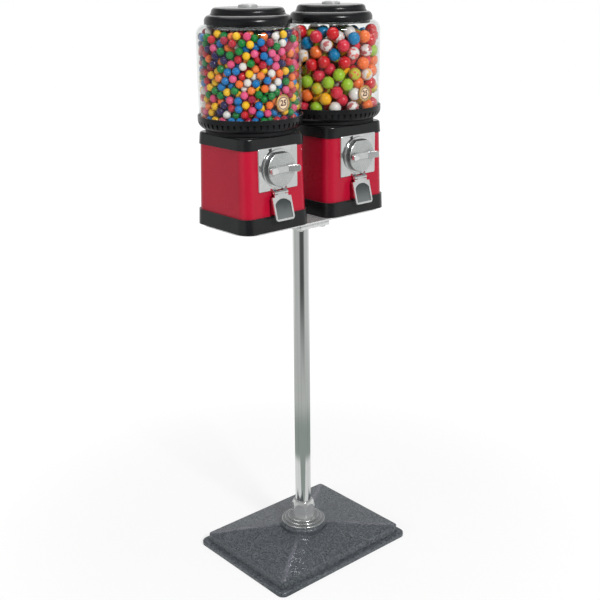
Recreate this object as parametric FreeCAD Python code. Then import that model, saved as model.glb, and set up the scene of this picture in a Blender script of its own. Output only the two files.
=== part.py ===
import FreeCAD, Part
import math
import os

V = FreeCAD.Vector

# Driving dimensions, in millimetres and degrees.
# The stand's heights count from the floor. A head's heights count from the head's own foot.

# Fits
SEAT_GAP = 0.2            # between fixed pieces that nest
MOVE_GAP = 0.3            # between faces that pass each other
RUN_GAP = 0.05            # radial, shaft in a bearing
OVERCUT = 1.0             # how far a cutter runs past the face it opens

# Cast base
BASE_LENGTH = 344.0
BASE_DEPTH = 268.0
BASE_CORNER_R = 14.0
BASE_LIP_HEIGHT = 9.0
BASE_LIP_LEDGE = 9.5      # how far the lip stands out past the wall
BASE_LIP_ROUND = 3.0
BASE_WALL_HEIGHT = 15.0
BASE_WALL_DRAFT = 3.0     # inward lean of the wall, per side
BASE_TOP_CORNER_R = 7.0   # corners of the sloping faces at the top of the wall
BASE_RISE = 25.0          # from the top of the wall to the top of the boss
CROWN_LENGTH = 48.0       # flat where the slopes would meet, under the boss
CROWN_DEPTH = 36.0
CROWN_CORNER_R = 4.0
CROWN_DROP = 8.0          # crown below the boss's top
BASE_SKIN = 7.0           # thickness of the casting
BASE_RIB = 6.0
BOSS_D = 96.0
BOSS_ROUND = 6.0          # rounded edge of the boss
HUB_D = 54.0              # underside hub round the pole's socket

# Pole and its fittings
POLE_D = 31.75
POLE_WALL = 2.0
POLE_LENGTH = 677.0
POLE_SOCKET = 30.0        # depth of the pole in the base
FLANGE_D = 89.0
FLANGE_STEPS = 3
FLANGE_STEP = 6.5         # width of each step
FLANGE_STEP_HEIGHT = 3.8
FLANGE_EDGE = 1.2         # rounding of each step
NUT_FLATS = 43.0
NUT_NECK_D = 46.0
NUT_NECK_HEIGHT = 4.0
NUT_FOOT_CHAMFER = 4.0
NUT_BAND = 11.0           # height of the full hexagon over its chamfer
NUT_DOME = 17.0           # height of the dome over the band
NUT_BULGE = 1.2           # bow of the dome's side
NUT_TOP_D = 38.0
POLE_HEAD_WIDTH = 78.0
POLE_HEAD_DEPTH = 84.0
POLE_HEAD_HEIGHT = 12.0
POLE_HEAD_SOCKET = 9.0
POLE_HEAD_CORNER_R = 6.0
MOUNT_PLATE = 3.0
MOUNT_PLATE_INSET = 2.6   # plate's edge inside the trays' feet
MOUNT_PLATE_CORNER_R = 36.0
HEAD_SCREW_D = 6.0
HEAD_SCREW_FLATS = 10.0
HEAD_SCREW_HEAD = 4.0
HEAD_SCREW_INSET = 11.0   # from the block's sides

# Heads on the stand
HEAD_GAP = 7.6            # between the two globe rings
HEAD_SETBACK = 20.9       # heads' centre line behind the pole
SIDES = {"left": -1, "right": 1}
BALL_D = {"left": 14.3, "right": 24.0}

# Body, tray and collar
BODY_WIDTH = 148.0
BODY_LEAN = 3.25          # inward lean of each wall over the body's height
BODY_CORNER_R = 20.0
BODY_WALL = 1.5
BODY_HEADROOM = 8.0       # from the wheel's cup to the body's top
WINDOW_GAP = 1.0          # round what passes through the body's front
TRAY_HEIGHT = 28.0
TRAY_LEDGE_Z = 17.0
TRAY_LEDGE = 4.0
TRAY_WALL = 2.6
TRAY_FLARE = 0.8
TRAY_FLOOR = 3.0
COLLAR_HEIGHT = 21.3
COLLAR_OVERLAP = 10.8
COLLAR_WALL = 2.4
COLLAR_TAPER = 1.3
COLLAR_TOP = 4.0
COLLAR_LEDGE = 4.0
COLLAR_ROUND = 4.0

# Globe, its ring and the lid
GLOBE_D = 184.0
GLOBE_WALL = 2.5
GLOBE_HEIGHT = 162.0
GLOBE_SHOULDER_R = 18.0
GLOBE_LAND = 1.0          # flat between the shoulder and the mouth
RING_RIM = 2.1
RING_RIM_HEIGHT = 6.0
RING_HEIGHT = 17.5        # from the ring's seat to the globe's seat
RING_FOOT = 4.5           # width of the ring's foot
RING_BRIM = 2.6           # plain band under the globe's seat
RING_BELLY = 3.0          # bow of the ring's side
RING_SLOPE = 4.0          # fall of the ring's inside from the globe's wall to the bowl
RING_FLUTES = 52
FLUTE_WIDTH = 4.4
FLUTE_DEPTH = 4.0
LID_OVERHANG = 4.0
LID_RIM = 5.5             # height of the upright rim
LID_CREASE_HEIGHT = 15.1  # height of the crease between the two tiers
LID_CREASE_INSET = 10.2   # crease inside the rim
LID_SHOULDER_BOW = 2.7
LID_TIER_DRAFT = 2.4      # inward lean of the upper tier's side
LID_TIER_SIDE = 4.0
LID_TIER_ROUND = 8.4
LID_WALL = 3.0
LID_SPIGOT = 6.0
LOCK_BOSS_D = 33.0
LOCK_BOSS_HEIGHT = 3.8
LOCK_BOSS_DRAFT = 1.0
LOCK_D = 20.0
LOCK_FACE_D = 25.0
LOCK_FACE = 1.5
LOCK_PLUG_D = 12.0
LOCK_TAIL = 7.0           # reach of the barrel below the lid's foot
LOCK_WEB = 3.0            # between the rod's socket and the plug's
KEYWAY_LENGTH = 8.0
KEYWAY_WIDTH = 1.8
KEYWAY_DEPTH = 4.0
ROD_D = 8.0
ROD_GRIP = 10.0           # length of the rod inside the lock
ROD_NUT_FLATS = 14.0
ROD_NUT_HEIGHT = 7.0
ROD_WASHER_D = 26.0
ROD_WASHER = 2.0
ROD_TAIL = 3.0

# Hopper and dispensing wheel
BOWL_INSET = 15.0         # bowl's outside, inside the globe's
BOWL_WALL = 2.5
HOPPER_FLANGE = 7.0
HOPPER_SPIGOT_INSET = 5.75  # spigot's side inside the body's top edge
HOPPER_FLANGE_EDGE = 2.0
CUP_WALL = 2.5
CUP_FLOOR = 3.5
CUP_RIM = 4.0             # cup's wall over the cover
CUP_LIP = 2.5             # thickness of the lip that hangs the cup in the hopper
CUP_LIP_WIDTH = 3.0
HOPPER_LEDGE = 2.5        # ledge under the cup's lip
WHEEL_INSET = 22.0        # wheel's edge inside the body's foot
WHEEL_HEIGHT = 20.0
WHEEL_GAP = 1.0           # round the wheel
WHEEL_POST_D = 16.0
POCKET_GAP = 0.9          # round a ball
POCKET_EDGE = 0.9         # between pockets and teeth
POCKET_LAND = 3.5         # least web between pockets
TOOTH_BAND = 5.5          # radial width of the face gear
COVER_HEIGHT = 4.0
COVER_SPAN = 66.0         # degrees
COVER_HUB_D = 27.0
DROP_ANGLE = -150.0       # direction of the drop hole, degrees from +X
DROP_D = 28.0

# Gear pair
WHEEL_TEETH = 48
PINION_TEETH = 8
TOOTH_ADDENDUM = 1.8
TOOTH_CLEARANCE = 0.4
TOOTH_FILL = 0.375        # tooth thickness over the circular pitch
TOOTH_SLOPE = 20.0
PINION_WIDTH = 5.0
PINION_ROOM = 2.0         # round the pinion, in the hopper's window

# Coin mechanism, drawn as seen from the front with its depth counted forward from the plate's face
PLATE_WIDTH = 89.5
PLATE_HEIGHT = 77.0
PLATE_THIN = 2.8          # plate thickness at its lower edge
PLATE_CORNER_R = 3.0
PLATE_EDGE = 1.2          # rounding of the plate's front edge
DIAL_D = 63.0
DIAL_HEIGHT = 10.5
DIAL_FACE = 2.6           # thickness of the dial's face
DIAL_WALL = 7.0           # thickness of the dial's side
DIAL_ROUND = 1.8
DIAL_LEDGE = 3.5          # low step round the dial
DIAL_LEDGE_HEIGHT = 2.4
DIAL_FLAT_CUT = 2.8       # depth of the flat at the dial's top
SLOT_LENGTH = 26.5
SLOT_WIDTH = 2.6
NOTCH_WIDTH = 3.6         # beside the hinge, in the plate's lower edge
NOTCH_HEIGHT = 4.5
MECH_DEPTH = 17.0         # plate's face to the back plate
BACK_PLATE = 2.0
POST_D = 7.2
POST_INSET = 10.0         # from the plate's edges
MECH_SCREW_D = 3.0
MECH_SCREW_BITE = 8.0
MECH_SCREW_HEAD_D = 6.0
MECH_SCREW_HEAD = 2.0
SPINDLE_D = 8.0
CARRIER_HEIGHT = 6.0
COIN_D = 24.3
COIN_POCKET = 2.2
CARRIER_HUB_D = 24.0
RATCHET_DEPTH = 6.0       # front of the ratchet behind the plate's face
RATCHET_WIDTH = 4.0
RATCHET_D = 44.0
RATCHET_TOOTH = 3.0
RATCHET_TEETH = 12
PAWL_OFFSET = 11.5        # pawl's stud outside the ratchet's tips
PAWL_Y = 5.0
PAWL_ANGLE = 36.0         # direction of the pawl's tip from the spindle
PAWL_STUD_D = 5.0
PAWL_EYE_D = 9.0
PAWL_ARM = 2.7            # half width of the arm at the eye
PAWL_TOE_X = 1.2
PAWL_TOE_Y = 2.2
SPRING_THICK = 0.5
SPRING_TOE = 7.0          # stretch that lies on the pawl
SPRING_FOOT = 5.0         # stretch under the post

# Handle
HANDLE_LENGTH = 66.0
HANDLE_WIDTH = 12.5
HANDLE_END_R = 4.5        # corners of the wings seen from the front
HANDLE_BLOCK_LENGTH = 25.0
HANDLE_BLOCK_R = 1.6      # upright corners of the block
HANDLE_BLOCK = 4.6        # how far the middle block stands out from the dial
HANDLE_ROUND = 1.2
HANDLE_BORE = 3.4
WING_LIFT = 1.2           # back of a wing over the dial, at the block
WING_FLARE = 5.6          # further lift of the back at the wing's tip
WING_ROOT = 3.2           # thickness of a wing at the block
WING_TIP = 6.8
WING_BITE = 2.0           # wing's root inside the block

# Chute and its door
CHUTE_WIDTH = 30.0
CHUTE_HEIGHT = 26.0
CHUTE_WALL = 2.5
CHUTE_SILL = 6.0          # floor of the mouth over the tray's rim
CHUTE_FALL = 14.0         # drop of the ramp from the duct to the mouth
CHUTE_LANDING = 8.0       # level stretch behind the plate's face
DOOR_PIN_RISE = 10.0      # pin over the mouth
DOOR_PIN_DROP = 3.5       # pin under the plate's lower edge
DOOR_PIN_REACH = 5.0      # in front of the plate's face
DOOR_PIN_D = 3.0
DOOR_EYE_D = 6.4
DOOR_EYE_LENGTH = 16.0    # the door's knuckle, between the plate's two
DOOR_TILT = 15.0
DOOR_WIDTH = 43.0
DOOR_SKIRT = 10.5         # door's lower edge below the chute
DOOR_THICK = 3.0
DOOR_CORNER_R = 6.0
DOOR_RIM = 3.6
DOOR_PANEL_DEPTH = 1.2
DOOR_NECK_WIDTH = 31.0
DOOR_NECK = 8.0           # from the pin to the door's shoulders
DOOR_EAR_ROOT = 4.0       # how far up the plate the hinge ears start
DOOR_ARCH = 9.0           # rise of the panel's arched top

# Worked-out sizes of the stand
POLE_R = POLE_D / 2
BASE_TOP_Z = BASE_LIP_HEIGHT + BASE_WALL_HEIGHT + BASE_RISE
POLE_FOOT_Z = BASE_TOP_Z - POLE_SOCKET
POLE_TOP_Z = POLE_FOOT_Z + POLE_LENGTH
POLE_HEAD_Z = POLE_TOP_Z - POLE_HEAD_SOCKET
MOUNT_PLATE_Z = POLE_HEAD_Z + POLE_HEAD_HEIGHT
HEAD_Z = MOUNT_PLATE_Z + MOUNT_PLATE

# Worked-out sizes of the gear pair and the wheel
WHEEL_R = BODY_WIDTH / 2 - WHEEL_INSET
TOOTH_PITCH_R = WHEEL_R - TOOTH_BAND / 2
CIRCULAR_PITCH = 2 * math.pi * TOOTH_PITCH_R / WHEEL_TEETH
PINION_R = PINION_TEETH * CIRCULAR_PITCH / (2 * math.pi)
PINION_TIP_R = PINION_R + TOOTH_ADDENDUM
PINION_ROOT_R = PINION_R - TOOTH_ADDENDUM - TOOTH_CLEARANCE

# Worked-out heights of a head, from the tray up
CHUTE_MOUTH_Z = TRAY_HEIGHT + CHUTE_SILL
DOOR_PIN_Z = CHUTE_MOUTH_Z + CHUTE_HEIGHT + DOOR_PIN_RISE
PLATE_FOOT_Z = DOOR_PIN_Z + DOOR_PIN_DROP
DIAL_Z = PLATE_FOOT_Z + PLATE_HEIGHT / 2
WHEEL_Z = DIAL_Z + PINION_TIP_R + TOOTH_CLEARANCE
TOOTH_TIP_Z = DIAL_Z + PINION_R - TOOTH_ADDENDUM
WHEEL_TOP_Z = WHEEL_Z + WHEEL_HEIGHT
CUP_FLOOR_Z = TOOTH_TIP_Z - 2 * TOOTH_CLEARANCE
CUP_FOOT_Z = CUP_FLOOR_Z - CUP_FLOOR
COVER_Z = WHEEL_TOP_Z + 2 * MOVE_GAP
CUP_TOP_Z = COVER_Z + COVER_HEIGHT + CUP_RIM
BODY_TOP_Z = CUP_TOP_Z + BODY_HEADROOM
COLLAR_Z = BODY_TOP_Z - COLLAR_OVERLAP
COLLAR_TOP_Z = COLLAR_Z + COLLAR_HEIGHT
RING_Z = COLLAR_TOP_Z + HOPPER_FLANGE
GLOBE_Z = RING_Z + RING_HEIGHT
GLOBE_TOP_Z = GLOBE_Z + GLOBE_HEIGHT
LID_Z = GLOBE_TOP_Z + SEAT_GAP
LID_CREASE_Z = LID_Z + LID_CREASE_HEIGHT
LID_TOP_Z = LID_CREASE_Z + LID_TIER_SIDE + LID_TIER_ROUND
LOCK_TOP_Z = LID_TOP_Z + LOCK_BOSS_HEIGHT
LOCK_FOOT_Z = LID_Z - LOCK_TAIL
ROD_TOP_Z = LOCK_FOOT_Z + ROD_GRIP

# Worked-out radii of a head
GLOBE_R = GLOBE_D / 2
GLOBE_INNER_R = GLOBE_R - GLOBE_WALL
NECK_R = GLOBE_R - GLOBE_SHOULDER_R - GLOBE_LAND
LID_R = NECK_R + LID_OVERHANG
RING_R = GLOBE_R + 2 * SEAT_GAP + RING_RIM
BOWL_R = GLOBE_R - BOWL_INSET
SPIGOT_R = BODY_WIDTH / 2 - BODY_LEAN - HOPPER_SPIGOT_INSET
CUP_R = WHEEL_R + WHEEL_GAP
ROD_R = ROD_D / 2
HEAD_PITCH = 2 * RING_R + HEAD_GAP

# Worked-out sizes of the coin mechanism and the door
POST_X = PLATE_WIDTH / 2 - POST_INSET
POST_Y = PLATE_HEIGHT / 2 - POST_INSET
DIAL_FLAT = DIAL_D / 2 - DIAL_FLAT_CUT
CARRIER_R = DIAL_D / 2 - DIAL_WALL - MOVE_GAP
PAWL_X = RATCHET_D / 2 + PAWL_OFFSET
DOOR_FALL = DOOR_PIN_RISE + CHUTE_HEIGHT + CHUTE_WALL + DOOR_SKIRT
DOOR_LENGTH = DOOR_FALL / math.cos(math.radians(DOOR_TILT))


def body_width(z):
    """Outside width of the tapered body at height z."""
    share = (z - TRAY_LEDGE_Z) / (BODY_TOP_Z - TRAY_LEDGE_Z)
    return BODY_WIDTH - 2 * BODY_LEAN * share


FACE_Y = -(body_width(PLATE_FOOT_Z) / 2 + PLATE_THIN)

# Shape helpers

def rounded_rectangle(width, depth, radius, z):
    """Closed wire, centred on the Z axis at height z."""
    x = width / 2
    y = depth / 2
    k = radius * (1 - math.sqrt(0.5))
    edges = []
    for sx, sy, turn in ((1, 1, 1), (-1, 1, -1), (-1, -1, 1), (1, -1, -1)):
        on_side = V(sx * x, sy * (y - radius), z)
        on_end = V(sx * (x - radius), sy * y, z)
        middle = V(sx * (x - k), sy * (y - k), z)
        first, last = (on_side, on_end) if turn > 0 else (on_end, on_side)
        edges.append(Part.Arc(first, middle, last).toShape())
    joined = []
    for number, edge in enumerate(edges):
        following = edges[(number + 1) % len(edges)]
        joined.append(edge)
        joined.append(Part.makeLine(edge.lastVertex().Point, following.firstVertex().Point))
    return Part.Wire(joined)


def prism(width, depth, radius, z0, z1):
    return Part.Face(rounded_rectangle(width, depth, radius, z0)).extrude(V(0, 0, z1 - z0))


def tapered(low, high):
    """Solid between two rounded rectangles, each given as width, depth, radius, z."""
    return Part.makeLoft([rounded_rectangle(*low), rounded_rectangle(*high)], True, True)


def tapered_square(width0, z0, width1, z1, radius):
    return tapered((width0, width0, radius, z0), (width1, width1, radius, z1))


def box(x0, x1, y0, y1, z0, z1):
    return Part.makeBox(x1 - x0, y1 - y0, z1 - z0, V(x0, y0, z0))


def rod(radius, z0, z1, x=0.0, y=0.0):
    return Part.makeCylinder(radius, z1 - z0, V(x, y, z0))


def outline(points, lift):
    """Wire through points. A point given as (middle, end) is reached by an arc."""
    start = lift(points[0])
    here = start
    edges = []
    for point in list(points[1:]) + [points[0]]:
        if isinstance(point[0], tuple):
            middle, end = point
            edges.append(Part.Arc(here, lift(middle), lift(end)).toShape())
            here = lift(end)
        elif (lift(point) - here).Length > 1e-6:
            edges.append(Part.makeLine(here, lift(point)))
            here = lift(point)
    return Part.Wire(edges)


def turned(points):
    """Solid of revolution about Z from (radius, z) points."""
    wire = outline(points, lambda p: V(p[0], 0, p[1]))
    return Part.Face(wire).revolve(V(0, 0, 0), V(0, 0, 1), 360)


def plate(points, z0, z1):
    """Flat plate from (x, y) points."""
    wire = outline(points, lambda p: V(p[0], p[1], z0))
    return Part.Face(wire).extrude(V(0, 0, z1 - z0))


def hexagon(flats, z0, z1):
    corner = flats / math.sqrt(3)
    points = []
    for step in range(6):
        angle = math.radians(60 * step)
        points.append((corner * math.cos(angle), corner * math.sin(angle)))
    return plate(points, z0, z1)


def spun(shape, degrees):
    turned_copy = shape.copy()
    turned_copy.rotate(V(0, 0, 0), V(0, 0, 1), degrees)
    return turned_copy


def moved(shape, x, y, z):
    copy = shape.copy()
    copy.translate(V(x, y, z))
    return copy


def fused(first, *others):
    return first.fuse(list(others)).removeSplitter()


def edges_at(shape, z):
    """Edges that lie flat at height z."""
    found = []
    for edge in shape.Edges:
        if abs(edge.BoundBox.ZMin - z) < 1e-4 and abs(edge.BoundBox.ZMax - z) < 1e-4:
            found.append(edge)
    return found


def bowed(start, end, bow):
    """Arc from start to end whose middle stands off the chord, to the right of the way."""
    run = (end[0] - start[0], end[1] - start[1])
    share = bow / math.hypot(*run)
    middle = ((start[0] + end[0]) / 2 + run[1] * share, (start[1] + end[1]) / 2 - run[0] * share)
    return middle, end


def rounded(centre, radius, start, end):
    """Arc about a centre between two directions in degrees."""
    points = []
    for degrees in ((start + end) / 2, end):
        angle = math.radians(degrees)
        points.append((centre[0] + radius * math.cos(angle), centre[1] + radius * math.sin(angle)))
    return tuple(points)


# Stand

def base_casting():
    wall_length = BASE_LENGTH - 2 * BASE_LIP_LEDGE
    wall_depth = BASE_DEPTH - 2 * BASE_LIP_LEDGE
    top_length = wall_length - 2 * BASE_WALL_DRAFT
    top_depth = wall_depth - 2 * BASE_WALL_DRAFT
    shoulder_z = BASE_LIP_HEIGHT + BASE_WALL_HEIGHT
    crown_z = BASE_TOP_Z - CROWN_DROP
    boss_r = BOSS_D / 2
    lip = prism(BASE_LENGTH, BASE_DEPTH, BASE_CORNER_R, 0, BASE_LIP_HEIGHT)
    lip = lip.makeFillet(BASE_LIP_ROUND, edges_at(lip, BASE_LIP_HEIGHT))
    wall = tapered((wall_length, wall_depth, BASE_CORNER_R, BASE_LIP_HEIGHT / 2),
                   (top_length, top_depth, BASE_TOP_CORNER_R, shoulder_z))
    slopes = tapered((top_length, top_depth, BASE_TOP_CORNER_R, shoulder_z),
                     (CROWN_LENGTH, CROWN_DEPTH, CROWN_CORNER_R, crown_z))
    boss = turned([(0, shoulder_z), (boss_r, shoulder_z), (boss_r, BASE_TOP_Z - BOSS_ROUND),
                   rounded((boss_r - BOSS_ROUND, BASE_TOP_Z - BOSS_ROUND), BOSS_ROUND, 0, 90),
                   (0, BASE_TOP_Z)])
    form = fused(lip, wall, slopes, boss)

    inner_length = top_length - 2 * BASE_SKIN
    inner_depth = top_depth - 2 * BASE_SKIN
    inner_z = shoulder_z - BASE_SKIN
    hollow = prism(inner_length, inner_depth, BASE_CORNER_R, -OVERCUT, inner_z)
    roof = tapered((inner_length, inner_depth, BASE_CORNER_R, inner_z),
                   (CROWN_LENGTH, CROWN_DEPTH, CROWN_CORNER_R, crown_z - BASE_SKIN))
    hollow = hollow.fuse(roof)
    keep = [rod(HUB_D / 2, BASE_LIP_HEIGHT, BASE_TOP_Z)]
    for x, y in ((BASE_LENGTH, BASE_RIB), (BASE_RIB, BASE_DEPTH)):
        keep.append(box(-x / 2, x / 2, -y / 2, y / 2, BASE_LIP_HEIGHT, BASE_TOP_Z))
    casting = form.cut(hollow.cut(keep))
    socket = rod(POLE_R + RUN_GAP, POLE_FOOT_Z, BASE_TOP_Z + OVERCUT)
    drain = rod(POLE_R - POLE_WALL, -OVERCUT, BASE_TOP_Z)
    return casting.cut([socket, drain])


def base_flange():
    radius = FLANGE_D / 2
    z = BASE_TOP_Z
    bore = POLE_R + SEAT_GAP
    points = [(bore, z)]
    for step in range(FLANGE_STEPS):
        top = z + FLANGE_STEP_HEIGHT
        points += [(radius, z), (radius, top - FLANGE_EDGE),
                   rounded((radius - FLANGE_EDGE, top - FLANGE_EDGE), FLANGE_EDGE, 0, 90)]
        radius -= FLANGE_STEP
        z = top
    return turned(points + [(bore, z)])


def pole_lock_nut():
    foot = BASE_TOP_Z + FLANGE_STEPS * FLANGE_STEP_HEIGHT
    body_foot = foot + NUT_NECK_HEIGHT
    band_foot = body_foot + NUT_FOOT_CHAMFER
    band_top = band_foot + NUT_BAND
    top = band_top + NUT_DOME
    neck = NUT_NECK_D / 2
    corner = NUT_FLATS / math.sqrt(3)
    dome = bowed((corner, band_top), (NUT_TOP_D / 2, top), NUT_BULGE)
    limit = turned([(0, foot), (neck, foot), (neck, body_foot), (corner, band_foot), (corner, band_top), dome,
                    (0, top)])
    nut = hexagon(NUT_FLATS, foot, top).common(limit)
    return nut.cut(rod(POLE_R + RUN_GAP, foot - OVERCUT, top + OVERCUT))


def pole():
    tube = rod(POLE_R, POLE_FOOT_Z, POLE_TOP_Z)
    return tube.cut(rod(POLE_R - POLE_WALL, POLE_FOOT_Z - OVERCUT, POLE_TOP_Z + OVERCUT))


def screw_places():
    x = POLE_HEAD_WIDTH / 2 - HEAD_SCREW_INSET
    y = POLE_HEAD_DEPTH / 2 - HEAD_SCREW_INSET
    return [(sx * x, sy * y) for sx in (-1, 1) for sy in (-1, 1)]


def pole_head():
    block = prism(POLE_HEAD_WIDTH, POLE_HEAD_DEPTH, POLE_HEAD_CORNER_R, POLE_HEAD_Z, MOUNT_PLATE_Z)
    holes = [rod(POLE_R + RUN_GAP, POLE_HEAD_Z - OVERCUT, POLE_TOP_Z)]
    for x, y in screw_places():
        holes.append(rod(HEAD_SCREW_D / 2 + SEAT_GAP, POLE_HEAD_Z - OVERCUT, MOUNT_PLATE_Z + OVERCUT, x, y))
    return block.cut(holes)


def twin_mount_plate():
    reach = tray_width() / 2 - MOUNT_PLATE_INSET
    sheet = prism(HEAD_PITCH + 2 * reach, 2 * reach, MOUNT_PLATE_CORNER_R, MOUNT_PLATE_Z, HEAD_Z)
    sheet = moved(sheet, 0, HEAD_SETBACK, 0)
    low = MOUNT_PLATE_Z - OVERCUT
    high = HEAD_Z + OVERCUT
    holes = [rod(ROD_R + SEAT_GAP, low, high, sign * HEAD_PITCH / 2, HEAD_SETBACK) for sign in SIDES.values()]
    holes += [rod(HEAD_SCREW_D / 2 + RUN_GAP, low, high, x, y) for x, y in screw_places()]
    return sheet.cut(holes)


def head_screws():
    screws = []
    for x, y in screw_places():
        shank = rod(HEAD_SCREW_D / 2, POLE_HEAD_Z - OVERCUT, HEAD_Z - SEAT_GAP, x, y)
        head = moved(hexagon(HEAD_SCREW_FLATS, POLE_HEAD_Z - HEAD_SCREW_HEAD, POLE_HEAD_Z), x, y, 0)
        screws.append(fused(head, shank))
    return Part.makeCompound(screws)


# Head: body

def body_form(inset, z0, z1):
    """Tapered rounded-square body, inset from the outside."""
    radius = BODY_CORNER_R - inset
    return tapered_square(body_width(z0) - 2 * inset, z0, body_width(z1) - 2 * inset, z1, radius)


def tray_width():
    """Width of the tray's foot."""
    return BODY_WIDTH + 2 * (SEAT_GAP + TRAY_WALL + TRAY_FLARE)


def base_tray():
    seat = BODY_WIDTH + 2 * SEAT_GAP
    seat_r = BODY_CORNER_R + SEAT_GAP
    well = seat - 2 * TRAY_LEDGE
    outside = tapered_square(tray_width(), 0, seat + 2 * TRAY_WALL, TRAY_HEIGHT, seat_r + TRAY_WALL)
    hollows = [prism(seat, seat, seat_r, TRAY_LEDGE_Z, TRAY_HEIGHT + OVERCUT),
               prism(well, well, seat_r - TRAY_LEDGE, TRAY_FLOOR, TRAY_LEDGE_Z),
               rod(ROD_R + SEAT_GAP, -OVERCUT, TRAY_FLOOR + OVERCUT)]
    return outside.cut(hollows)


def body_shell():
    skin = body_form(0, TRAY_LEDGE_Z, BODY_TOP_Z)
    inside = body_form(BODY_WALL, TRAY_LEDGE_Z - OVERCUT, BODY_TOP_Z + OVERCUT)
    reach_x = POST_X + POST_D / 2 + WINDOW_GAP
    reach_z = POST_Y + POST_D / 2 + WINDOW_GAP
    mech_window = box(-reach_x, reach_x, -BODY_WIDTH, 0, DIAL_Z - reach_z, DIAL_Z + reach_z)
    margin = CHUTE_WALL + WINDOW_GAP
    chute_x = CHUTE_WIDTH / 2 + margin
    chute_window = box(-chute_x, chute_x, -BODY_WIDTH, 0,
                       CHUTE_MOUTH_Z - margin, CHUTE_MOUTH_Z + CHUTE_HEIGHT + margin)
    return skin.cut([inside, mech_window, chute_window])


def top_collar():
    """Cap over the body, notched for the top of the coin plate."""
    foot = body_width(COLLAR_Z) + 2 * (SEAT_GAP + COLLAR_WALL)
    outer_r = BODY_CORNER_R + SEAT_GAP + COLLAR_WALL
    cap = tapered_square(foot, COLLAR_Z, foot - 2 * COLLAR_TAPER, COLLAR_TOP_Z, outer_r)
    cap = cap.makeFillet(COLLAR_ROUND, edges_at(cap, COLLAR_TOP_Z))
    sleeve = body_form(-SEAT_GAP, COLLAR_Z - OVERCUT, BODY_TOP_Z)
    ledge = body_width(BODY_TOP_Z) - 2 * COLLAR_LEDGE
    roof_z = COLLAR_TOP_Z - COLLAR_TOP
    hollow = prism(ledge, ledge, BODY_CORNER_R - COLLAR_LEDGE, BODY_TOP_Z - OVERCUT, roof_z)
    mouth = rod(SPIGOT_R + SEAT_GAP, COLLAR_Z, COLLAR_TOP_Z + OVERCUT)
    side = PLATE_WIDTH / 2 + MOVE_GAP
    notch = box(-side, side, 2 * FACE_Y, 0, COLLAR_Z - OVERCUT, PLATE_FOOT_Z + PLATE_HEIGHT + MOVE_GAP)
    return cap.cut([sleeve, hollow, mouth, notch])


# Head: globe, ring and lid

def globe():
    shoulder_z = GLOBE_TOP_Z - GLOBE_SHOULDER_R
    under_z = GLOBE_TOP_Z - GLOBE_WALL
    centre = (GLOBE_R - GLOBE_SHOULDER_R, shoulder_z)
    return turned([
        (GLOBE_INNER_R, GLOBE_Z), (GLOBE_R, GLOBE_Z), (GLOBE_R, shoulder_z),
        rounded(centre, GLOBE_SHOULDER_R, 0, 90), (NECK_R, GLOBE_TOP_Z), (NECK_R, under_z),
        (centre[0], under_z),
        rounded(centre, GLOBE_SHOULDER_R - GLOBE_WALL, 90, 0)])


def globe_ring():
    inner = BOWL_R + SEAT_GAP
    foot = (inner + RING_FOOT, RING_Z)
    brim = (RING_R, GLOBE_Z - RING_BRIM)
    rim_top = GLOBE_Z + RING_RIM_HEIGHT
    groove_r = GLOBE_R + 2 * SEAT_GAP
    ring = turned([(inner, RING_Z), foot, bowed(foot, brim, RING_BELLY), (RING_R, rim_top),
                   (groove_r, rim_top), (groove_r, GLOBE_Z), (GLOBE_INNER_R - SEAT_GAP, GLOBE_Z),
                   (inner, GLOBE_Z - RING_SLOPE)])
    half = FLUTE_WIDTH / 2
    flute = box(-half, half, RING_R - FLUTE_DEPTH, RING_R + OVERCUT, RING_Z - OVERCUT, GLOBE_Z - RING_BRIM)
    return ring.cut([spun(flute, 360 * n / RING_FLUTES) for n in range(RING_FLUTES)])


def lid():
    top = LID_TOP_Z
    rim = (LID_R, LID_Z + LID_RIM)
    crease = (LID_R - LID_CREASE_INSET, LID_CREASE_Z)
    tier_r = crease[0] - LID_TIER_DRAFT
    tier_z = LID_CREASE_Z + LID_TIER_SIDE
    plateau_r = tier_r - LID_TIER_ROUND
    boss_r = LOCK_BOSS_D / 2
    bore = LOCK_D / 2 + RUN_GAP
    spigot_r = NECK_R - MOVE_GAP
    spigot_in = spigot_r - LID_WALL
    tube_r = bore + LID_WALL
    under = top - LID_WALL
    outside = [(bore, LOCK_TOP_Z), (boss_r, LOCK_TOP_Z), (boss_r + LOCK_BOSS_DRAFT, top), (plateau_r, top),
               rounded((plateau_r, tier_z), LID_TIER_ROUND, 90, 0), crease,
               bowed(crease, rim, -LID_SHOULDER_BOW), (LID_R, LID_Z)]
    inside = [(spigot_r, LID_Z), (spigot_r, LID_Z - LID_SPIGOT), (spigot_in, LID_Z - LID_SPIGOT),
              (spigot_in, LID_Z + LID_RIM), (crease[0] - LID_WALL, LID_CREASE_Z - LID_WALL),
              (tier_r - LID_WALL, tier_z), (plateau_r, under), (tube_r, under), (tube_r, LID_Z),
              (bore, LID_Z)]
    return turned(outside + inside)


def lid_lock_barrel():
    face_z = LOCK_TOP_Z + LOCK_FACE
    barrel = fused(rod(LOCK_D / 2, LOCK_FOOT_Z, LOCK_TOP_Z), rod(LOCK_FACE_D / 2, LOCK_TOP_Z, face_z))
    rod_hole = rod(ROD_R + SEAT_GAP, LOCK_FOOT_Z - OVERCUT, ROD_TOP_Z + MOVE_GAP)
    plug_hole = rod(LOCK_PLUG_D / 2 + RUN_GAP, ROD_TOP_Z + LOCK_WEB, face_z + OVERCUT)
    return barrel.cut([rod_hole, plug_hole])


def lid_lock_plug():
    top = LOCK_TOP_Z + LOCK_FACE
    plug = rod(LOCK_PLUG_D / 2, ROD_TOP_Z + LOCK_WEB + MOVE_GAP, top)
    x = KEYWAY_LENGTH / 2
    y = KEYWAY_WIDTH / 2
    return plug.cut(box(-x, x, -y, y, top - KEYWAY_DEPTH, top + OVERCUT))


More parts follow.
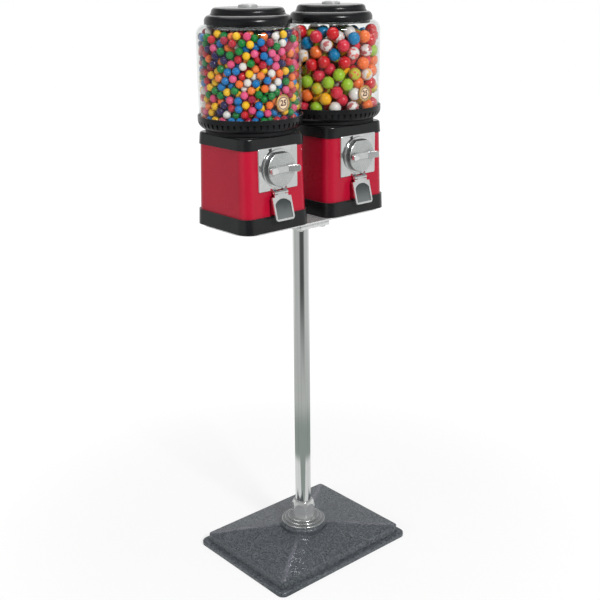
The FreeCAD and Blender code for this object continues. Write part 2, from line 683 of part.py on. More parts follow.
def center_rod():
    """Rod that clamps a head from the plate to the lid's lock, with the nut and washer at its foot."""
    washer_z = -MOUNT_PLATE - ROD_WASHER
    nut_z = washer_z - ROD_NUT_HEIGHT
    nut = fused(rod(ROD_WASHER_D / 2, washer_z, -MOUNT_PLATE), hexagon(ROD_NUT_FLATS, nut_z, washer_z))
    nut = nut.cut(rod(ROD_R + RUN_GAP, nut_z - OVERCUT, -MOUNT_PLATE + OVERCUT))
    return Part.makeCompound([rod(ROD_R, nut_z - ROD_TAIL, ROD_TOP_Z), nut])


def gumballs(diameter):
    """Outer layer of the candy: staggered rings of balls against the globe's wall."""
    radius = diameter / 2
    spacing = diameter + MOVE_GAP
    ring_r = GLOBE_INNER_R - MOVE_GAP - radius
    count = int(2 * math.pi * ring_r / spacing)
    step = 2 * math.pi / count
    offset = 2 * ring_r * math.sin(step / 4)
    layer_height = math.sqrt(spacing ** 2 - offset ** 2)
    slope = math.atan2(RING_SLOPE, GLOBE_INNER_R - BOWL_R)
    slope_z = GLOBE_Z - (GLOBE_INNER_R - ring_r) * math.tan(slope)
    first_z = slope_z + (radius + MOVE_GAP) / math.cos(slope)
    last_z = GLOBE_TOP_Z - GLOBE_SHOULDER_R
    layers = int((last_z - first_z) / layer_height) + 1
    balls = []
    for layer in range(layers):
        for number in range(count):
            angle = step * (number + (layer % 2) / 2)
            centre = V(ring_r * math.cos(angle), ring_r * math.sin(angle), first_z + layer * layer_height)
            balls.append(Part.makeSphere(radius, centre))
    return Part.makeCompound(balls)


# Head: hopper, wheel and chute

def drop_point(radius):
    angle = math.radians(DROP_ANGLE)
    return radius * math.cos(angle), radius * math.sin(angle)


def pocket_radius(ball):
    return ball / 2 + POCKET_GAP


def pocket_place(ball):
    """Distance of a ball's pocket from the rod."""
    return WHEEL_R - TOOTH_BAND - POCKET_EDGE - pocket_radius(ball)


def drop_radius():
    """Distance of the drop hole from the rod: under the larger pockets."""
    return pocket_place(max(BALL_D.values()))


def hopper():
    """Funnel under the globe: bowl, flange on the collar, spigot through it and the ledge for the cup."""
    bowl_in = BOWL_R - BOWL_WALL
    flange = BOWL_R + RING_FOOT - SEAT_GAP
    bowl_top = GLOBE_Z - RING_SLOPE
    throat_z = COLLAR_TOP_Z - CUP_WALL
    lip_z = CUP_TOP_Z - CUP_LIP
    ledge_z = lip_z - HOPPER_LEDGE
    ledge_r = CUP_R + CUP_WALL + SEAT_GAP
    seat_r = ledge_r + CUP_LIP_WIDTH
    sleeve_r = seat_r + CUP_WALL
    return turned([
        (ledge_r, ledge_z), (sleeve_r, ledge_z), (sleeve_r, CUP_TOP_Z), (SPIGOT_R, BODY_TOP_Z),
        (SPIGOT_R, COLLAR_TOP_Z), (flange - HOPPER_FLANGE_EDGE, COLLAR_TOP_Z),
        (flange, COLLAR_TOP_Z + HOPPER_FLANGE_EDGE), (flange, RING_Z), (BOWL_R, RING_Z), (BOWL_R, bowl_top),
        (bowl_in, bowl_top), (SPIGOT_R - CUP_WALL, throat_z), (seat_r, CUP_TOP_Z), (seat_r, lip_z),
        (ledge_r, lip_z)])


def wheel_cup():
    """Cup that hangs in the hopper by its lip: post for the wheel, drop hole and window for the pinion."""
    out = CUP_R + CUP_WALL
    lip_r = out + CUP_LIP_WIDTH
    lip_z = CUP_TOP_Z - CUP_LIP
    post_r = WHEEL_POST_D / 2
    cup = turned([
        (0, CUP_FOOT_Z), (out, CUP_FOOT_Z), (out, lip_z), (lip_r, lip_z), (lip_r, CUP_TOP_Z),
        (CUP_R, CUP_TOP_Z), (CUP_R, CUP_FLOOR_Z), (post_r, CUP_FLOOR_Z), (post_r, COVER_Z), (0, COVER_Z)])
    drop_x, drop_y = drop_point(drop_radius())
    below = CUP_FOOT_Z - OVERCUT
    room = PINION_TIP_R + PINION_ROOM
    back = -(TOOTH_PITCH_R - PINION_WIDTH / 2 - PINION_ROOM)
    window = box(-room, room, -out - OVERCUT, back, below, WHEEL_Z + OVERCUT)
    return cup.cut([rod(ROD_R + SEAT_GAP, below, COVER_Z + OVERCUT),
                    rod(DROP_D / 2, below, CUP_FLOOR_Z + OVERCUT, drop_x, drop_y), window])


def face_tooth():
    """One wheel tooth at the front of the wheel, wedge-shaped along the radius."""
    lean = math.tan(math.radians(TOOTH_SLOPE))
    half = CIRCULAR_PITCH * TOOTH_FILL / 2
    buried = WHEEL_Z + OVERCUT
    sections = []
    for radius in (WHEEL_R - TOOTH_BAND, WHEEL_R):
        scale = radius / TOOTH_PITCH_R
        tip = (half - TOOTH_ADDENDUM * lean) * scale
        root = (half + (TOOTH_ADDENDUM + TOOTH_CLEARANCE) * lean) * scale
        corners = [V(-tip, -radius, TOOTH_TIP_Z), V(tip, -radius, TOOTH_TIP_Z), V(root, -radius, WHEEL_Z),
                   V(root, -radius, buried), V(-root, -radius, buried), V(-root, -radius, WHEEL_Z)]
        sections.append(Part.makePolygon(corners + [corners[0]]))
    return Part.makeLoft(sections, True, True)


def dispensing_wheel(ball):
    pocket_r = pocket_radius(ball)
    place = pocket_place(ball)
    pockets = int(2 * math.pi * place / (2 * pocket_r + POCKET_LAND))
    low = WHEEL_Z - OVERCUT
    high = WHEEL_TOP_Z + OVERCUT
    tooth = face_tooth()
    step = 360 / WHEEL_TEETH
    teeth = [spun(tooth, step * (n + 0.5)) for n in range(WHEEL_TEETH)]
    wheel = rod(WHEEL_R, WHEEL_Z, WHEEL_TOP_Z).fuse(teeth)
    wheel = wheel.common(rod(WHEEL_R, TOOTH_TIP_Z - OVERCUT, WHEEL_TOP_Z))
    holes = [rod(WHEEL_POST_D / 2 + RUN_GAP, low, high)]
    for n in range(pockets):
        holes.append(spun(rod(pocket_r, low, high, place, 0), DROP_ANGLE + 360 * n / pockets))
    return wheel.cut(holes)


def cutoff_cover():
    reach = CUP_R - MOVE_GAP
    top = COVER_Z + COVER_HEIGHT
    hub = rod(COVER_HUB_D / 2, COVER_Z, top)
    fan = Part.makeCylinder(reach, COVER_HEIGHT, V(0, 0, COVER_Z), V(0, 0, 1), COVER_SPAN)
    fan = spun(fan, DROP_ANGLE - COVER_SPAN / 2)
    return fused(hub, fan).cut(rod(ROD_R + RUN_GAP, COVER_Z - OVERCUT, top + OVERCUT))


def door_plane_cut():
    """Everything in front of the closed door's back face, less the closing gap."""
    block = box(-BODY_WIDTH, BODY_WIDTH, -BODY_WIDTH, 0, -2 * BODY_WIDTH, BODY_WIDTH)
    block.translate(V(0, DOOR_THICK / 2 + MOVE_GAP, 0))
    block.rotate(V(0, 0, 0), V(-1, 0, 0), DOOR_TILT)
    block.translate(V(0, FACE_Y - DOOR_PIN_REACH, DOOR_PIN_Z))
    return block


def chute_section(x, y, z, grow):
    half = CHUTE_WIDTH / 2 + grow
    corners = [V(x - half, y, z - grow), V(x + half, y, z - grow),
               V(x + half, y, z + CHUTE_HEIGHT + grow), V(x - half, y, z + CHUTE_HEIGHT + grow)]
    return Part.makePolygon(corners + [corners[0]])


def chute():
    drop_x, drop_y = drop_point(drop_radius())
    duct_r = CHUTE_WIDTH / 2
    back_y = drop_y + duct_r
    landing_y = FACE_Y + CHUTE_LANDING
    front_y = FACE_Y - DOOR_LENGTH / 2
    back_z = CHUTE_MOUTH_Z + CHUTE_FALL
    outer = Part.makeLoft([chute_section(drop_x, back_y + CHUTE_WALL, back_z, CHUTE_WALL),
                           chute_section(0, landing_y, CHUTE_MOUTH_Z, CHUTE_WALL),
                           chute_section(0, front_y, CHUTE_MOUTH_Z, CHUTE_WALL)], True, True)
    inner = Part.makeLoft([chute_section(drop_x, back_y, back_z, 0),
                           chute_section(0, landing_y, CHUTE_MOUTH_Z, 0),
                           chute_section(0, front_y - OVERCUT, CHUTE_MOUTH_Z, 0)], True, True)
    duct_foot = back_z + CHUTE_HEIGHT / 2
    duct = rod(duct_r + CHUTE_WALL, duct_foot, CUP_FOOT_Z, drop_x, drop_y)
    duct_hole = rod(duct_r, duct_foot, CUP_FOOT_Z + OVERCUT, drop_x, drop_y)
    return outer.fuse(duct).cut([inner, duct_hole, door_plane_cut()]).removeSplitter()


# Head: coin mechanism, drawn in the front view

def in_mech_place(shape):
    """Turns a front-view shape upright and sets it on the plate's face at the dial's centre."""
    copy = shape.copy()
    copy.rotate(V(0, 0, 0), V(1, 0, 0), 90)
    copy.translate(V(0, FACE_Y, DIAL_Z))
    return copy


def post_places():
    return [(x, y) for x in (-POST_X, POST_X) for y in (-POST_Y, POST_Y)]


def door_pin_height():
    return DOOR_PIN_Z - DIAL_Z


def hinge_ear(x0, x1):
    """Knuckle round the door's pin, with its web from the plate's lower edge."""
    pin_y = door_pin_height()
    low = -PLATE_HEIGHT / 2
    root = low + DOOR_EAR_ROOT
    inside = -PLATE_THIN / 2
    knuckle_r = DOOR_EYE_D / 2
    knuckle = Part.makeCylinder(knuckle_r, x1 - x0, V(x0, pin_y, DOOR_PIN_REACH), V(1, 0, 0))
    corners = [V(x0, root, 0), V(x0, pin_y + knuckle_r, DOOR_PIN_REACH), V(x0, pin_y, DOOR_PIN_REACH),
               V(x0, low, inside), V(x0, root, inside)]
    web = Part.Face(Part.makePolygon(corners + [corners[0]])).extrude(V(x1 - x0, 0, 0))
    return knuckle.fuse(web)


def mech_face_plate():
    back = -MECH_DEPTH
    low = -PLATE_HEIGHT / 2
    dial_r = DIAL_D / 2
    sheet = prism(PLATE_WIDTH, PLATE_HEIGHT, PLATE_CORNER_R, back, 0)
    sheet = sheet.makeFillet(PLATE_EDGE, edges_at(sheet, 0))
    dial = rod(dial_r, -OVERCUT, DIAL_HEIGHT)
    top = DIAL_HEIGHT + OVERCUT
    dial = dial.cut(box(-dial_r, dial_r, DIAL_FLAT, dial_r + OVERCUT, DIAL_LEDGE_HEIGHT, top))
    dial = dial.makeFillet(DIAL_ROUND, edges_at(dial, DIAL_HEIGHT))
    ledge = rod(dial_r + DIAL_LEDGE, -OVERCUT, DIAL_LEDGE_HEIGHT)
    ledge = ledge.makeFillet(DIAL_LEDGE_HEIGHT / 2, edges_at(ledge, DIAL_LEDGE_HEIGHT))
    posts = [rod(POST_D / 2, back, -PLATE_THIN / 2, x, y) for x, y in post_places()]
    face = in_mech_place(sheet.fuse([dial, ledge])).cut(body_form(0, TRAY_LEDGE_Z, BODY_TOP_Z))

    ear_in = DOOR_EYE_LENGTH / 2 + MOVE_GAP
    ear_out = DOOR_NECK_WIDTH / 2
    ears = [hinge_ear(-ear_out, -ear_in), hinge_ear(ear_in, ear_out)]
    face = face.fuse([in_mech_place(extra) for extra in posts + ears])

    roof = DIAL_HEIGHT - DIAL_FACE
    slot_x = SLOT_LENGTH / 2
    holes = [rod(CARRIER_R + MOVE_GAP, back - OVERCUT, roof),
             rod(SPINDLE_D / 2 + RUN_GAP, back, DIAL_HEIGHT + OVERCUT),
             box(-slot_x, slot_x, 0, dial_r + OVERCUT, roof - SLOT_WIDTH, roof)]
    for x, y in post_places():
        holes.append(rod(MECH_SCREW_D / 2 + RUN_GAP, back - OVERCUT, back + MECH_SCREW_BITE + OVERCUT, x, y))
    for x in (-ear_out - NOTCH_WIDTH, ear_out):
        holes.append(box(x, x + NOTCH_WIDTH, low - OVERCUT, low + NOTCH_HEIGHT, back, DIAL_HEIGHT))
    holes.append(Part.makeCylinder(DOOR_PIN_D / 2 + RUN_GAP, PLATE_WIDTH,
                                   V(-PLATE_WIDTH / 2, door_pin_height(), DOOR_PIN_REACH), V(1, 0, 0)))
    return face.cut([in_mech_place(hole) for hole in holes]).removeSplitter()


def mech_back_plate():
    width = 2 * POST_X + POST_D
    height = 2 * POST_Y + POST_D
    front = -MECH_DEPTH
    back = front - BACK_PLATE
    sheet = prism(width, height, POST_D / 2, back, front)
    stud = rod(PAWL_STUD_D / 2, front, -RATCHET_DEPTH, PAWL_X, PAWL_Y)
    holes = [rod(SPINDLE_D / 2 + RUN_GAP, back - OVERCUT, front + OVERCUT)]
    for x, y in post_places():
        holes.append(rod(MECH_SCREW_D / 2 + SEAT_GAP, back - OVERCUT, front + OVERCUT, x, y))
    return in_mech_place(sheet.cut(holes).fuse(stud))


def mech_screws():
    seat = -MECH_DEPTH - BACK_PLATE
    screws = []
    for x, y in post_places():
        head = rod(MECH_SCREW_HEAD_D / 2, seat - MECH_SCREW_HEAD, seat, x, y)
        head = head.makeFillet(MECH_SCREW_HEAD / 2, edges_at(head, seat - MECH_SCREW_HEAD))
        shank = rod(MECH_SCREW_D / 2, seat - MECH_SCREW_HEAD / 2, -MECH_DEPTH + MECH_SCREW_BITE, x, y)
        screws.append(in_mech_place(fused(head, shank)))
    return Part.makeCompound(screws)


def handle_wing():
    """Right wing, drawn in plan from inside the block and trimmed to its outline from the front."""
    half = HANDLE_LENGTH / 2
    side = HANDLE_BLOCK_LENGTH / 2
    root_x = side - WING_BITE
    root_z = DIAL_HEIGHT + MOVE_GAP + WING_LIFT
    tip_z = root_z + WING_FLARE
    deep = HANDLE_WIDTH / 2
    corners = [(root_x, root_z), (half, tip_z), (half, tip_z + WING_TIP), (root_x, root_z + WING_ROOT)]
    plan = Part.Face(outline(corners, lambda p: V(p[0], -deep, p[1]))).extrude(V(0, HANDLE_WIDTH, 0))
    wing = plan.common(prism(HANDLE_LENGTH, HANDLE_WIDTH, HANDLE_END_R, 0, tip_z + WING_TIP + OVERCUT))
    return wing.makeFillet(HANDLE_ROUND, [edge for edge in wing.Edges if edge.BoundBox.XMax > side])


def handle():
    """Block on the dial with two wings that lean out from it."""
    foot = DIAL_HEIGHT + MOVE_GAP
    top = foot + HANDLE_BLOCK
    block = prism(HANDLE_BLOCK_LENGTH, HANDLE_WIDTH, HANDLE_BLOCK_R, foot, top)
    block = block.makeFillet(HANDLE_ROUND, edges_at(block, top))
    wing = handle_wing()
    grip = fused(block, wing, spun(wing, 180))
    return in_mech_place(grip.cut(rod(SPINDLE_D / 2 + RUN_GAP, foot - OVERCUT, foot + HANDLE_BORE)))


def gear_depth():
    """Depth of the gear pair's middle in the front view."""
    return FACE_Y + TOOTH_PITCH_R


def spindle():
    front = DIAL_HEIGHT + HANDLE_BORE
    back = gear_depth() - PINION_WIDTH / 2 - MOVE_GAP
    return in_mech_place(rod(SPINDLE_D / 2, back, front))


def drive_pinion():
    middle = gear_depth()
    back = middle - PINION_WIDTH / 2
    front = middle + PINION_WIDTH / 2
    lean = math.tan(math.radians(TOOTH_SLOPE))
    half = CIRCULAR_PITCH * TOOTH_FILL / 2
    root = half + TOOTH_ADDENDUM * lean / 2
    tip = half - TOOTH_ADDENDUM * lean
    buried = PINION_ROOT_R - TOOTH_CLEARANCE
    tooth = plate([(-root, buried), (root, buried), (tip, PINION_TIP_R), (-tip, PINION_TIP_R)], back, front)
    teeth = [spun(tooth, 360 * n / PINION_TEETH) for n in range(PINION_TEETH)]
    gear = fused(rod(PINION_ROOT_R, back, front), *teeth)
    return in_mech_place(gear.cut(rod(SPINDLE_D / 2 + RUN_GAP, back - OVERCUT, front + OVERCUT)))


def coin_carrier():
    front = DIAL_HEIGHT - DIAL_FACE - MOVE_GAP
    back = front - CARRIER_HEIGHT
    ratchet_back = -RATCHET_DEPTH - RATCHET_WIDTH
    pocket_y = CARRIER_R - COIN_D / 2
    pocket_r = COIN_D / 2 + SEAT_GAP
    pocket_z = front - COIN_POCKET
    disc = rod(CARRIER_R, back, front)
    pocket = fused(rod(pocket_r, pocket_z, front + OVERCUT, 0, pocket_y),
                   box(-pocket_r, pocket_r, pocket_y, CARRIER_R + OVERCUT, pocket_z, front + OVERCUT))
    points = []
    step = 2 * math.pi / RATCHET_TEETH
    for n in range(RATCHET_TEETH):
        for radius in (RATCHET_D / 2, RATCHET_D / 2 - RATCHET_TOOTH):
            points.append((radius * math.sin(n * step), radius * math.cos(n * step)))
    ratchet = plate(points, ratchet_back, -RATCHET_DEPTH)
    hub = rod(CARRIER_HUB_D / 2, -RATCHET_DEPTH - OVERCUT, back + OVERCUT)
    carrier = fused(disc.cut(pocket), hub, ratchet)
    return in_mech_place(carrier.cut(rod(SPINDLE_D / 2 + RUN_GAP, ratchet_back - OVERCUT, front + OVERCUT)))


def pawl_tip():
    """Point just clear of the ratchet's tips."""
    reach = RATCHET_D / 2 + MOVE_GAP
    angle = math.radians(PAWL_ANGLE)
    return reach * math.cos(angle), reach * math.sin(angle)


def pawl():
    front = -RATCHET_DEPTH - MOVE_GAP
    back = front - RATCHET_WIDTH + 2 * MOVE_GAP
    tip_x, tip_y = pawl_tip()
    toe = (tip_x + PAWL_TOE_X, tip_y + PAWL_TOE_Y)
    arm = plate([(tip_x, tip_y), (PAWL_X - PAWL_ARM, PAWL_Y - PAWL_ARM),
                 (PAWL_X + PAWL_ARM, PAWL_Y + PAWL_ARM), toe], back, front)
    lever = fused(rod(PAWL_EYE_D / 2, back, front, PAWL_X, PAWL_Y), arm)
    bore = rod(PAWL_STUD_D / 2 + RUN_GAP, back - OVERCUT, front + OVERCUT, PAWL_X, PAWL_Y)
    return in_mech_place(lever.cut(bore))


def pawl_spring():
    """Leaf spring from the upper post down to the pawl's arm."""
    front = -RATCHET_DEPTH - MOVE_GAP
    back = front - RATCHET_WIDTH + 2 * MOVE_GAP
    tip_x, tip_y = pawl_tip()
    t = SPRING_THICK
    low = tip_y + PAWL_TOE_Y + MOVE_GAP
    top = POST_Y - POST_D / 2 - SEAT_GAP
    toe = tip_x - 2 * t
    heel = toe + SPRING_TOE
    foot = POST_X - SPRING_FOOT / 2
    end = POST_X + SPRING_FOOT / 2
    leaf = plate([(toe, low), (heel, low), (foot, top - t), (end, top - t), (end, top), (foot - t, top),
                  (heel - t, low + t), (toe, low + t)], back, front)
    return in_mech_place(leaf)


def chute_door():
    half = DOOR_WIDTH / 2
    neck = DOOR_NECK_WIDTH / 2
    knuckle = DOOR_EYE_LENGTH / 2
    low = -DOOR_LENGTH
    thick = DOOR_THICK / 2
    r = DOOR_CORNER_R
    ear_clear = -(DOOR_EYE_D / 2 + 2 * MOVE_GAP)
    leaf = plate([(-half + r, low), (half - r, low), rounded((half - r, low + r), r, -90, 0),
                  (half, -DOOR_NECK), (neck, -DOOR_NECK), (neck, ear_clear), (knuckle, ear_clear),
                  (knuckle, 0), (-knuckle, 0), (-knuckle, ear_clear), (-neck, ear_clear), (-neck, -DOOR_NECK),
                  (-half, -DOOR_NECK), (-half, low + r), rounded((-half + r, low + r), r, 180, 270)],
                 -thick, thick)
    inset = half - DOOR_RIM
    arch = -DOOR_NECK - DOOR_RIM
    panel = plate([(-inset, low + DOOR_RIM), (inset, low + DOOR_RIM), (inset, arch - DOOR_ARCH),
                   ((0, arch), (-inset, arch - DOOR_ARCH))], thick - DOOR_PANEL_DEPTH, thick + OVERCUT)
    eye = Part.makeCylinder(DOOR_EYE_D / 2, 2 * knuckle, V(-knuckle, 0, 0), V(1, 0, 0))
    bore = Part.makeCylinder(DOOR_PIN_D / 2 + RUN_GAP, DOOR_NECK_WIDTH, V(-neck, 0, 0), V(1, 0, 0))
    door = fused(leaf, eye).cut([panel, bore])
    door.rotate(V(0, 0, 0), V(1, 0, 0), 90 - DOOR_TILT)
    door.translate(V(0, FACE_Y - DOOR_PIN_REACH, DOOR_PIN_Z))
    return door


def chute_door_pin():
    start = V(-DOOR_NECK_WIDTH / 2, FACE_Y - DOOR_PIN_REACH, DOOR_PIN_Z)
    return Part.makeCylinder(DOOR_PIN_D / 2, DOOR_NECK_WIDTH, start, V(1, 0, 0))


# Whole machine

def stand_pieces():
    return {
        "base_casting": base_casting(),
        "base_flange": base_flange(),
        "pole_lock_nut": pole_lock_nut(),
        "pole": pole(),
        "pole_head": pole_head(),
        "twin_mount_plate": twin_mount_plate(),
        "head_screws": head_screws(),
    }


def head_pieces(side):
    return {
        "base_tray": base_tray(),
        "body_shell": body_shell(),
        "top_collar": top_collar(),
        "hopper": hopper(),
        "wheel_cup": wheel_cup(),
        "globe_ring": globe_ring(),
        "globe": globe(),
        "gumballs": gumballs(BALL_D[side]),
        "lid": lid(),
        "lid_lock_barrel": lid_lock_barrel(),
        "lid_lock_plug": lid_lock_plug(),
        "center_rod": center_rod(),
        "dispensing_wheel": dispensing_wheel(BALL_D[side]),
        "cutoff_cover": cutoff_cover(),
        "chute": chute(),
        "chute_door": chute_door(),
        "chute_door_pin": chute_door_pin(),
        "mech_face_plate": mech_face_plate(),
        "mech_back_plate": mech_back_plate(),
        "mech_screws": mech_screws(),
        "handle": handle(),
        "spindle": spindle(),
        "coin_carrier": coin_carrier(),
        "pawl": pawl(),
        "pawl_spring": pawl_spring(),
        "drive_pinion": drive_pinion(),
    }


def main():
    os.makedirs("parts", exist_ok=True)
    for name, shape in stand_pieces().items():
        shape.exportStep("parts/" + name + ".step")
    for side, sign in SIDES.items():
        for name, shape in head_pieces(side).items():
            placed = moved(shape, sign * HEAD_PITCH / 2, HEAD_SETBACK, HEAD_Z)
            placed.exportStep("parts/" + side + "_" + name + ".step")


main()
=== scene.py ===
"""Looks of a twin-head gumball machine, laid out as a Blender add-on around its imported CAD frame."""
import math

import bmesh
import bpy
import numpy as np
from bpy.props import FloatProperty, FloatVectorProperty, IntProperty, PointerProperty
from mathutils import Matrix, Vector


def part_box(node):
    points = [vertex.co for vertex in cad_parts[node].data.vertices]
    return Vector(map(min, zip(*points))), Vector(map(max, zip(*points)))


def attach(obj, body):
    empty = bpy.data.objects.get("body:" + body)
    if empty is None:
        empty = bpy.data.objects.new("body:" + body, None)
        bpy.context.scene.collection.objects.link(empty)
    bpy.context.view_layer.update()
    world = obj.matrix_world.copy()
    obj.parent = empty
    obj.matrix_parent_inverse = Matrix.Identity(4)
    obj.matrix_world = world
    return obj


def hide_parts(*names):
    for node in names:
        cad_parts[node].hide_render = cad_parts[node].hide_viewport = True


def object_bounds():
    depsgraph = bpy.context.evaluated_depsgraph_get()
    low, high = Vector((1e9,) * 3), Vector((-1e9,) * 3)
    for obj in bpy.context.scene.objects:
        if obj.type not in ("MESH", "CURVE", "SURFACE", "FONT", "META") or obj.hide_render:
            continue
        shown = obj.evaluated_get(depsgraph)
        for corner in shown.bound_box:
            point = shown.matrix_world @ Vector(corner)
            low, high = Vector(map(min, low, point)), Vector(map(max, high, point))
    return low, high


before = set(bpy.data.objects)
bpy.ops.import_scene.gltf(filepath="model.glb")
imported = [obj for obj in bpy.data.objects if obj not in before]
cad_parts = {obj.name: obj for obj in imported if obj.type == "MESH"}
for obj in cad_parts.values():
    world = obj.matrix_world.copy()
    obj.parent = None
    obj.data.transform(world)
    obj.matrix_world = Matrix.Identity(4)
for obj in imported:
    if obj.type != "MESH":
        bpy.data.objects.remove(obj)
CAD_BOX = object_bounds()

bl_info = {
    "name": "Gumball Machine",
    "version": (1, 0, 0),
    "blender": (4, 5, 0),
    "location": "View3D > Sidebar > Gumball Machine",
    "description": "Finishes, candy, labels and studio stage for a twin-head gumball machine",
    "category": "Object",
}

SIDES = ("left", "right")
STAND = "stand"


# Sizes of the CAD pieces that the finishes and the candy follow, in metres

GLOBE_WALL = 0.0025
GLOBE_SHOULDER = 0.018
RING_SEAT = 0.004             # depth of the ring's inside under the globe's foot
ROD_RADIUS = 0.004            # of the rod through each heap
DIAL_HEIGHT = 0.0105          # how far the dial stands out from its plate
DIAL_FLAT = 0.0281            # height of the dial's flat top over its centre
DIAL_FLAT_HALF = 0.0136
DIAL_SLOT_SHADOW = 0.001              # painted shadow: dark strip over the flat top
DIAL_SLOT_SHADOW_FOOT = 0.001         # where the painted shadow starts, in front of the plate
DIAL_WALL_INSIDE = 0.0311     # radii on both sides of the dial's wall
DIAL_WALL_OUTSIDE = 0.0318
DIAL_LEDGE = 0.0026           # height of the ledge round the wall's foot
DIAL_SATIN = (0.0008, 0.0016)     # depths behind the dial's front between which its satin ends
DOOR_TILT = math.radians(15)
DOOR_PANEL_HALF = 0.0181
DOOR_PANEL_TOP = 0.009        # upper end of the sunk panel, down from the pin
DOOR_PANEL_FLOOR = 0.0009     # over the pin's plane, just in front of the panel's floor
DOOR_SHADE = (0.012, 0.05)    # distances down from the pin over which the panel's painted shade gets lighter
MOUTH_PAINT = 0.003           # how far behind the body's front the paint on the chute ends
LOCK_BOSS_HEIGHT = 0.0036     # of the lid's lock boss
BOSS_FADE = 0.0006            # height over which the rubbed boss starts
HIP_TOP = Vector((0.0228, 0.0168))        # ends of each hip of the base, from the pole's axis
HIP_FOOT = Vector((0.1575, 0.1195))
HIP_RISE = 0.025
HIP_STRIP = (0.0015, 0.0070)  # distances from a hip between which the painted highlight ends
HIP_FADE = 0.001              # height above and below the hip's foot over which it ends
HIP_HIGHLIGHT_REACH = (0.03, 0.11)       # distances from the middle between which it grows


def middle_of(node):
    """Middle of a CAD node's box."""
    low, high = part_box(node)
    return (low + high) / 2


def globe_radius(side):
    """Outer radius of a globe."""
    low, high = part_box(side + "_globe")
    return (high.x - low.x) / 2


def plate_face(side):
    """Centre of the coin dial on the plane of the plate's front face."""
    handle = middle_of(side + "_handle")
    low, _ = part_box(side + "_mech_face_plate")
    return Vector((handle.x, low.y + DIAL_HEIGHT, handle.z))


# What a user would change

class CandySettings(bpy.types.PropertyGroup):
    """Sizes of the heaps of candy."""
    left_diameter: FloatProperty(
        name="Left ball", description="Diameter of the balls in the left globe",
        default=0.0143, min=0.008, max=0.03, precision=4, unit="LENGTH")
    right_diameter: FloatProperty(
        name="Right ball", description="Diameter of the balls in the right globe",
        default=0.024, min=0.008, max=0.03, precision=4, unit="LENGTH")
    headroom: FloatProperty(
        name="Headroom", description="Free height over the heap, under the globe's top",
        default=0.003, min=0.0, max=0.1, precision=4, unit="LENGTH")
    seed: IntProperty(
        name="Seed", description="Seed of the heaps and of their colours", default=11, min=0)


class FinishSettings(bpy.types.PropertyGroup):
    """Colours of the paints, platings and plastics."""
    enamel: FloatVectorProperty(
        name="Enamel", description="Colour of the painted bodies", subtype="COLOR",
        default=(0.41, 0.005, 0.027), min=0, max=1)
    plastic: FloatVectorProperty(
        name="Plastic", description="Colour of the moulded trays, collars and lids", subtype="COLOR",
        default=(0.008, 0.0082, 0.009), min=0, max=1)
    hammer: FloatVectorProperty(
        name="Hammer paint", description="Ground colour of the cast base", subtype="COLOR",
        default=(0.014, 0.018, 0.021), min=0, max=1)
    hammer_fleck: FloatVectorProperty(
        name="Hammer fleck", description="Light flecks of the cast base", subtype="COLOR",
        default=(0.19, 0.21, 0.229), min=0, max=1)
    chrome: FloatVectorProperty(
        name="Chrome", description="Tint of the chrome on the pole", subtype="COLOR",
        default=(0.80, 0.81, 0.80), min=0, max=1)
    zinc: FloatVectorProperty(
        name="Zinc", description="Tint of the zinc plating", subtype="COLOR",
        default=(0.88, 0.88, 0.87), min=0, max=1)


class LabelSettings(bpy.types.PropertyGroup):
    """Round price label on each globe."""
    diameter: FloatProperty(
        name="Diameter", description="Diameter of the label",
        default=0.030, min=0.01, max=0.08, precision=4, unit="LENGTH")
    height: FloatProperty(
        name="Height", description="Middle of the label over the globe's foot",
        default=0.033, min=0.0, max=0.15, precision=4, unit="LENGTH")
    rim: FloatProperty(
        name="Rim", description="Width of the gilt rim",
        default=0.0032, min=0.0005, max=0.01, precision=4, unit="LENGTH")
    price: IntProperty(name="Price", description="Number on the label", default=25, min=1, max=99)
    paper: FloatVectorProperty(
        name="Paper", description="Colour of the paper", subtype="COLOR",
        default=(0.80, 0.62, 0.44), min=0, max=1)
    gilt: FloatVectorProperty(
        name="Gilt", description="Colour of the rim", subtype="COLOR",
        default=(0.62, 0.38, 0.13), min=0, max=1)


class StageSettings(bpy.types.PropertyGroup):
    """Floor and light."""
    floor_size: FloatProperty(
        name="Floor", description="Width of the floor", default=14.0, min=2, max=60, unit="LENGTH")
    key_power: FloatProperty(
        name="Key", description="Power of the softbox by the camera", default=65.0, min=0, unit="POWER")
    side_power: FloatProperty(
        name="Side", description="Power of the softbox to the left", default=17.0, min=0, unit="POWER")
    top_power: FloatProperty(
        name="Top", description="Power of the softbox overhead", default=30.0, min=0, unit="POWER")
    fill: FloatProperty(
        name="Fill", description="Strength of the light from all round", default=0.26, min=0)


# Shader nodes written as expressions

class Link:
    """Socket of a shader node that takes part in Python arithmetic."""

    def __init__(self, shader, socket):
        self.shader = shader
        self.socket = socket

    def _math(self, operation, *values):
        return self.shader.node("ShaderNodeMath", {"operation": operation}, dict(enumerate(values)))

    def __add__(self, other):
        return self._math("ADD", self, other)

    def __sub__(self, other):
        return self._math("SUBTRACT", self, other)

    def __rsub__(self, other):
        return self._math("SUBTRACT", other, self)

    def __mul__(self, other):
        return self._math("MULTIPLY", self, other)

    def __pow__(self, other):
        return self._math("POWER", self, other)

    def __gt__(self, other):
        return self._math("GREATER_THAN", self, other)

    def __lt__(self, other):
        return self._math("LESS_THAN", self, other)

    def most(self, other):
        """The larger of two values."""
        return self._math("MAXIMUM", self, other)

    def absolute(self):
        """The value without its sign."""
        return self._math("ABSOLUTE", self)

    def step(self, low, high):
        """0 below low, 1 above high, smooth between them."""
        return self.shader.node("ShaderNodeMapRange", {"interpolation_type": "SMOOTHSTEP"},
                                {"Value": self, "From Min": low, "From Max": high})


def with_alpha(value):
    """Gives a colour of three numbers its alpha, and leaves anything else as it is."""
    if isinstance(value, (tuple, list)) and len(value) == 3:
        return tuple(value) + (1.0,)
    return value


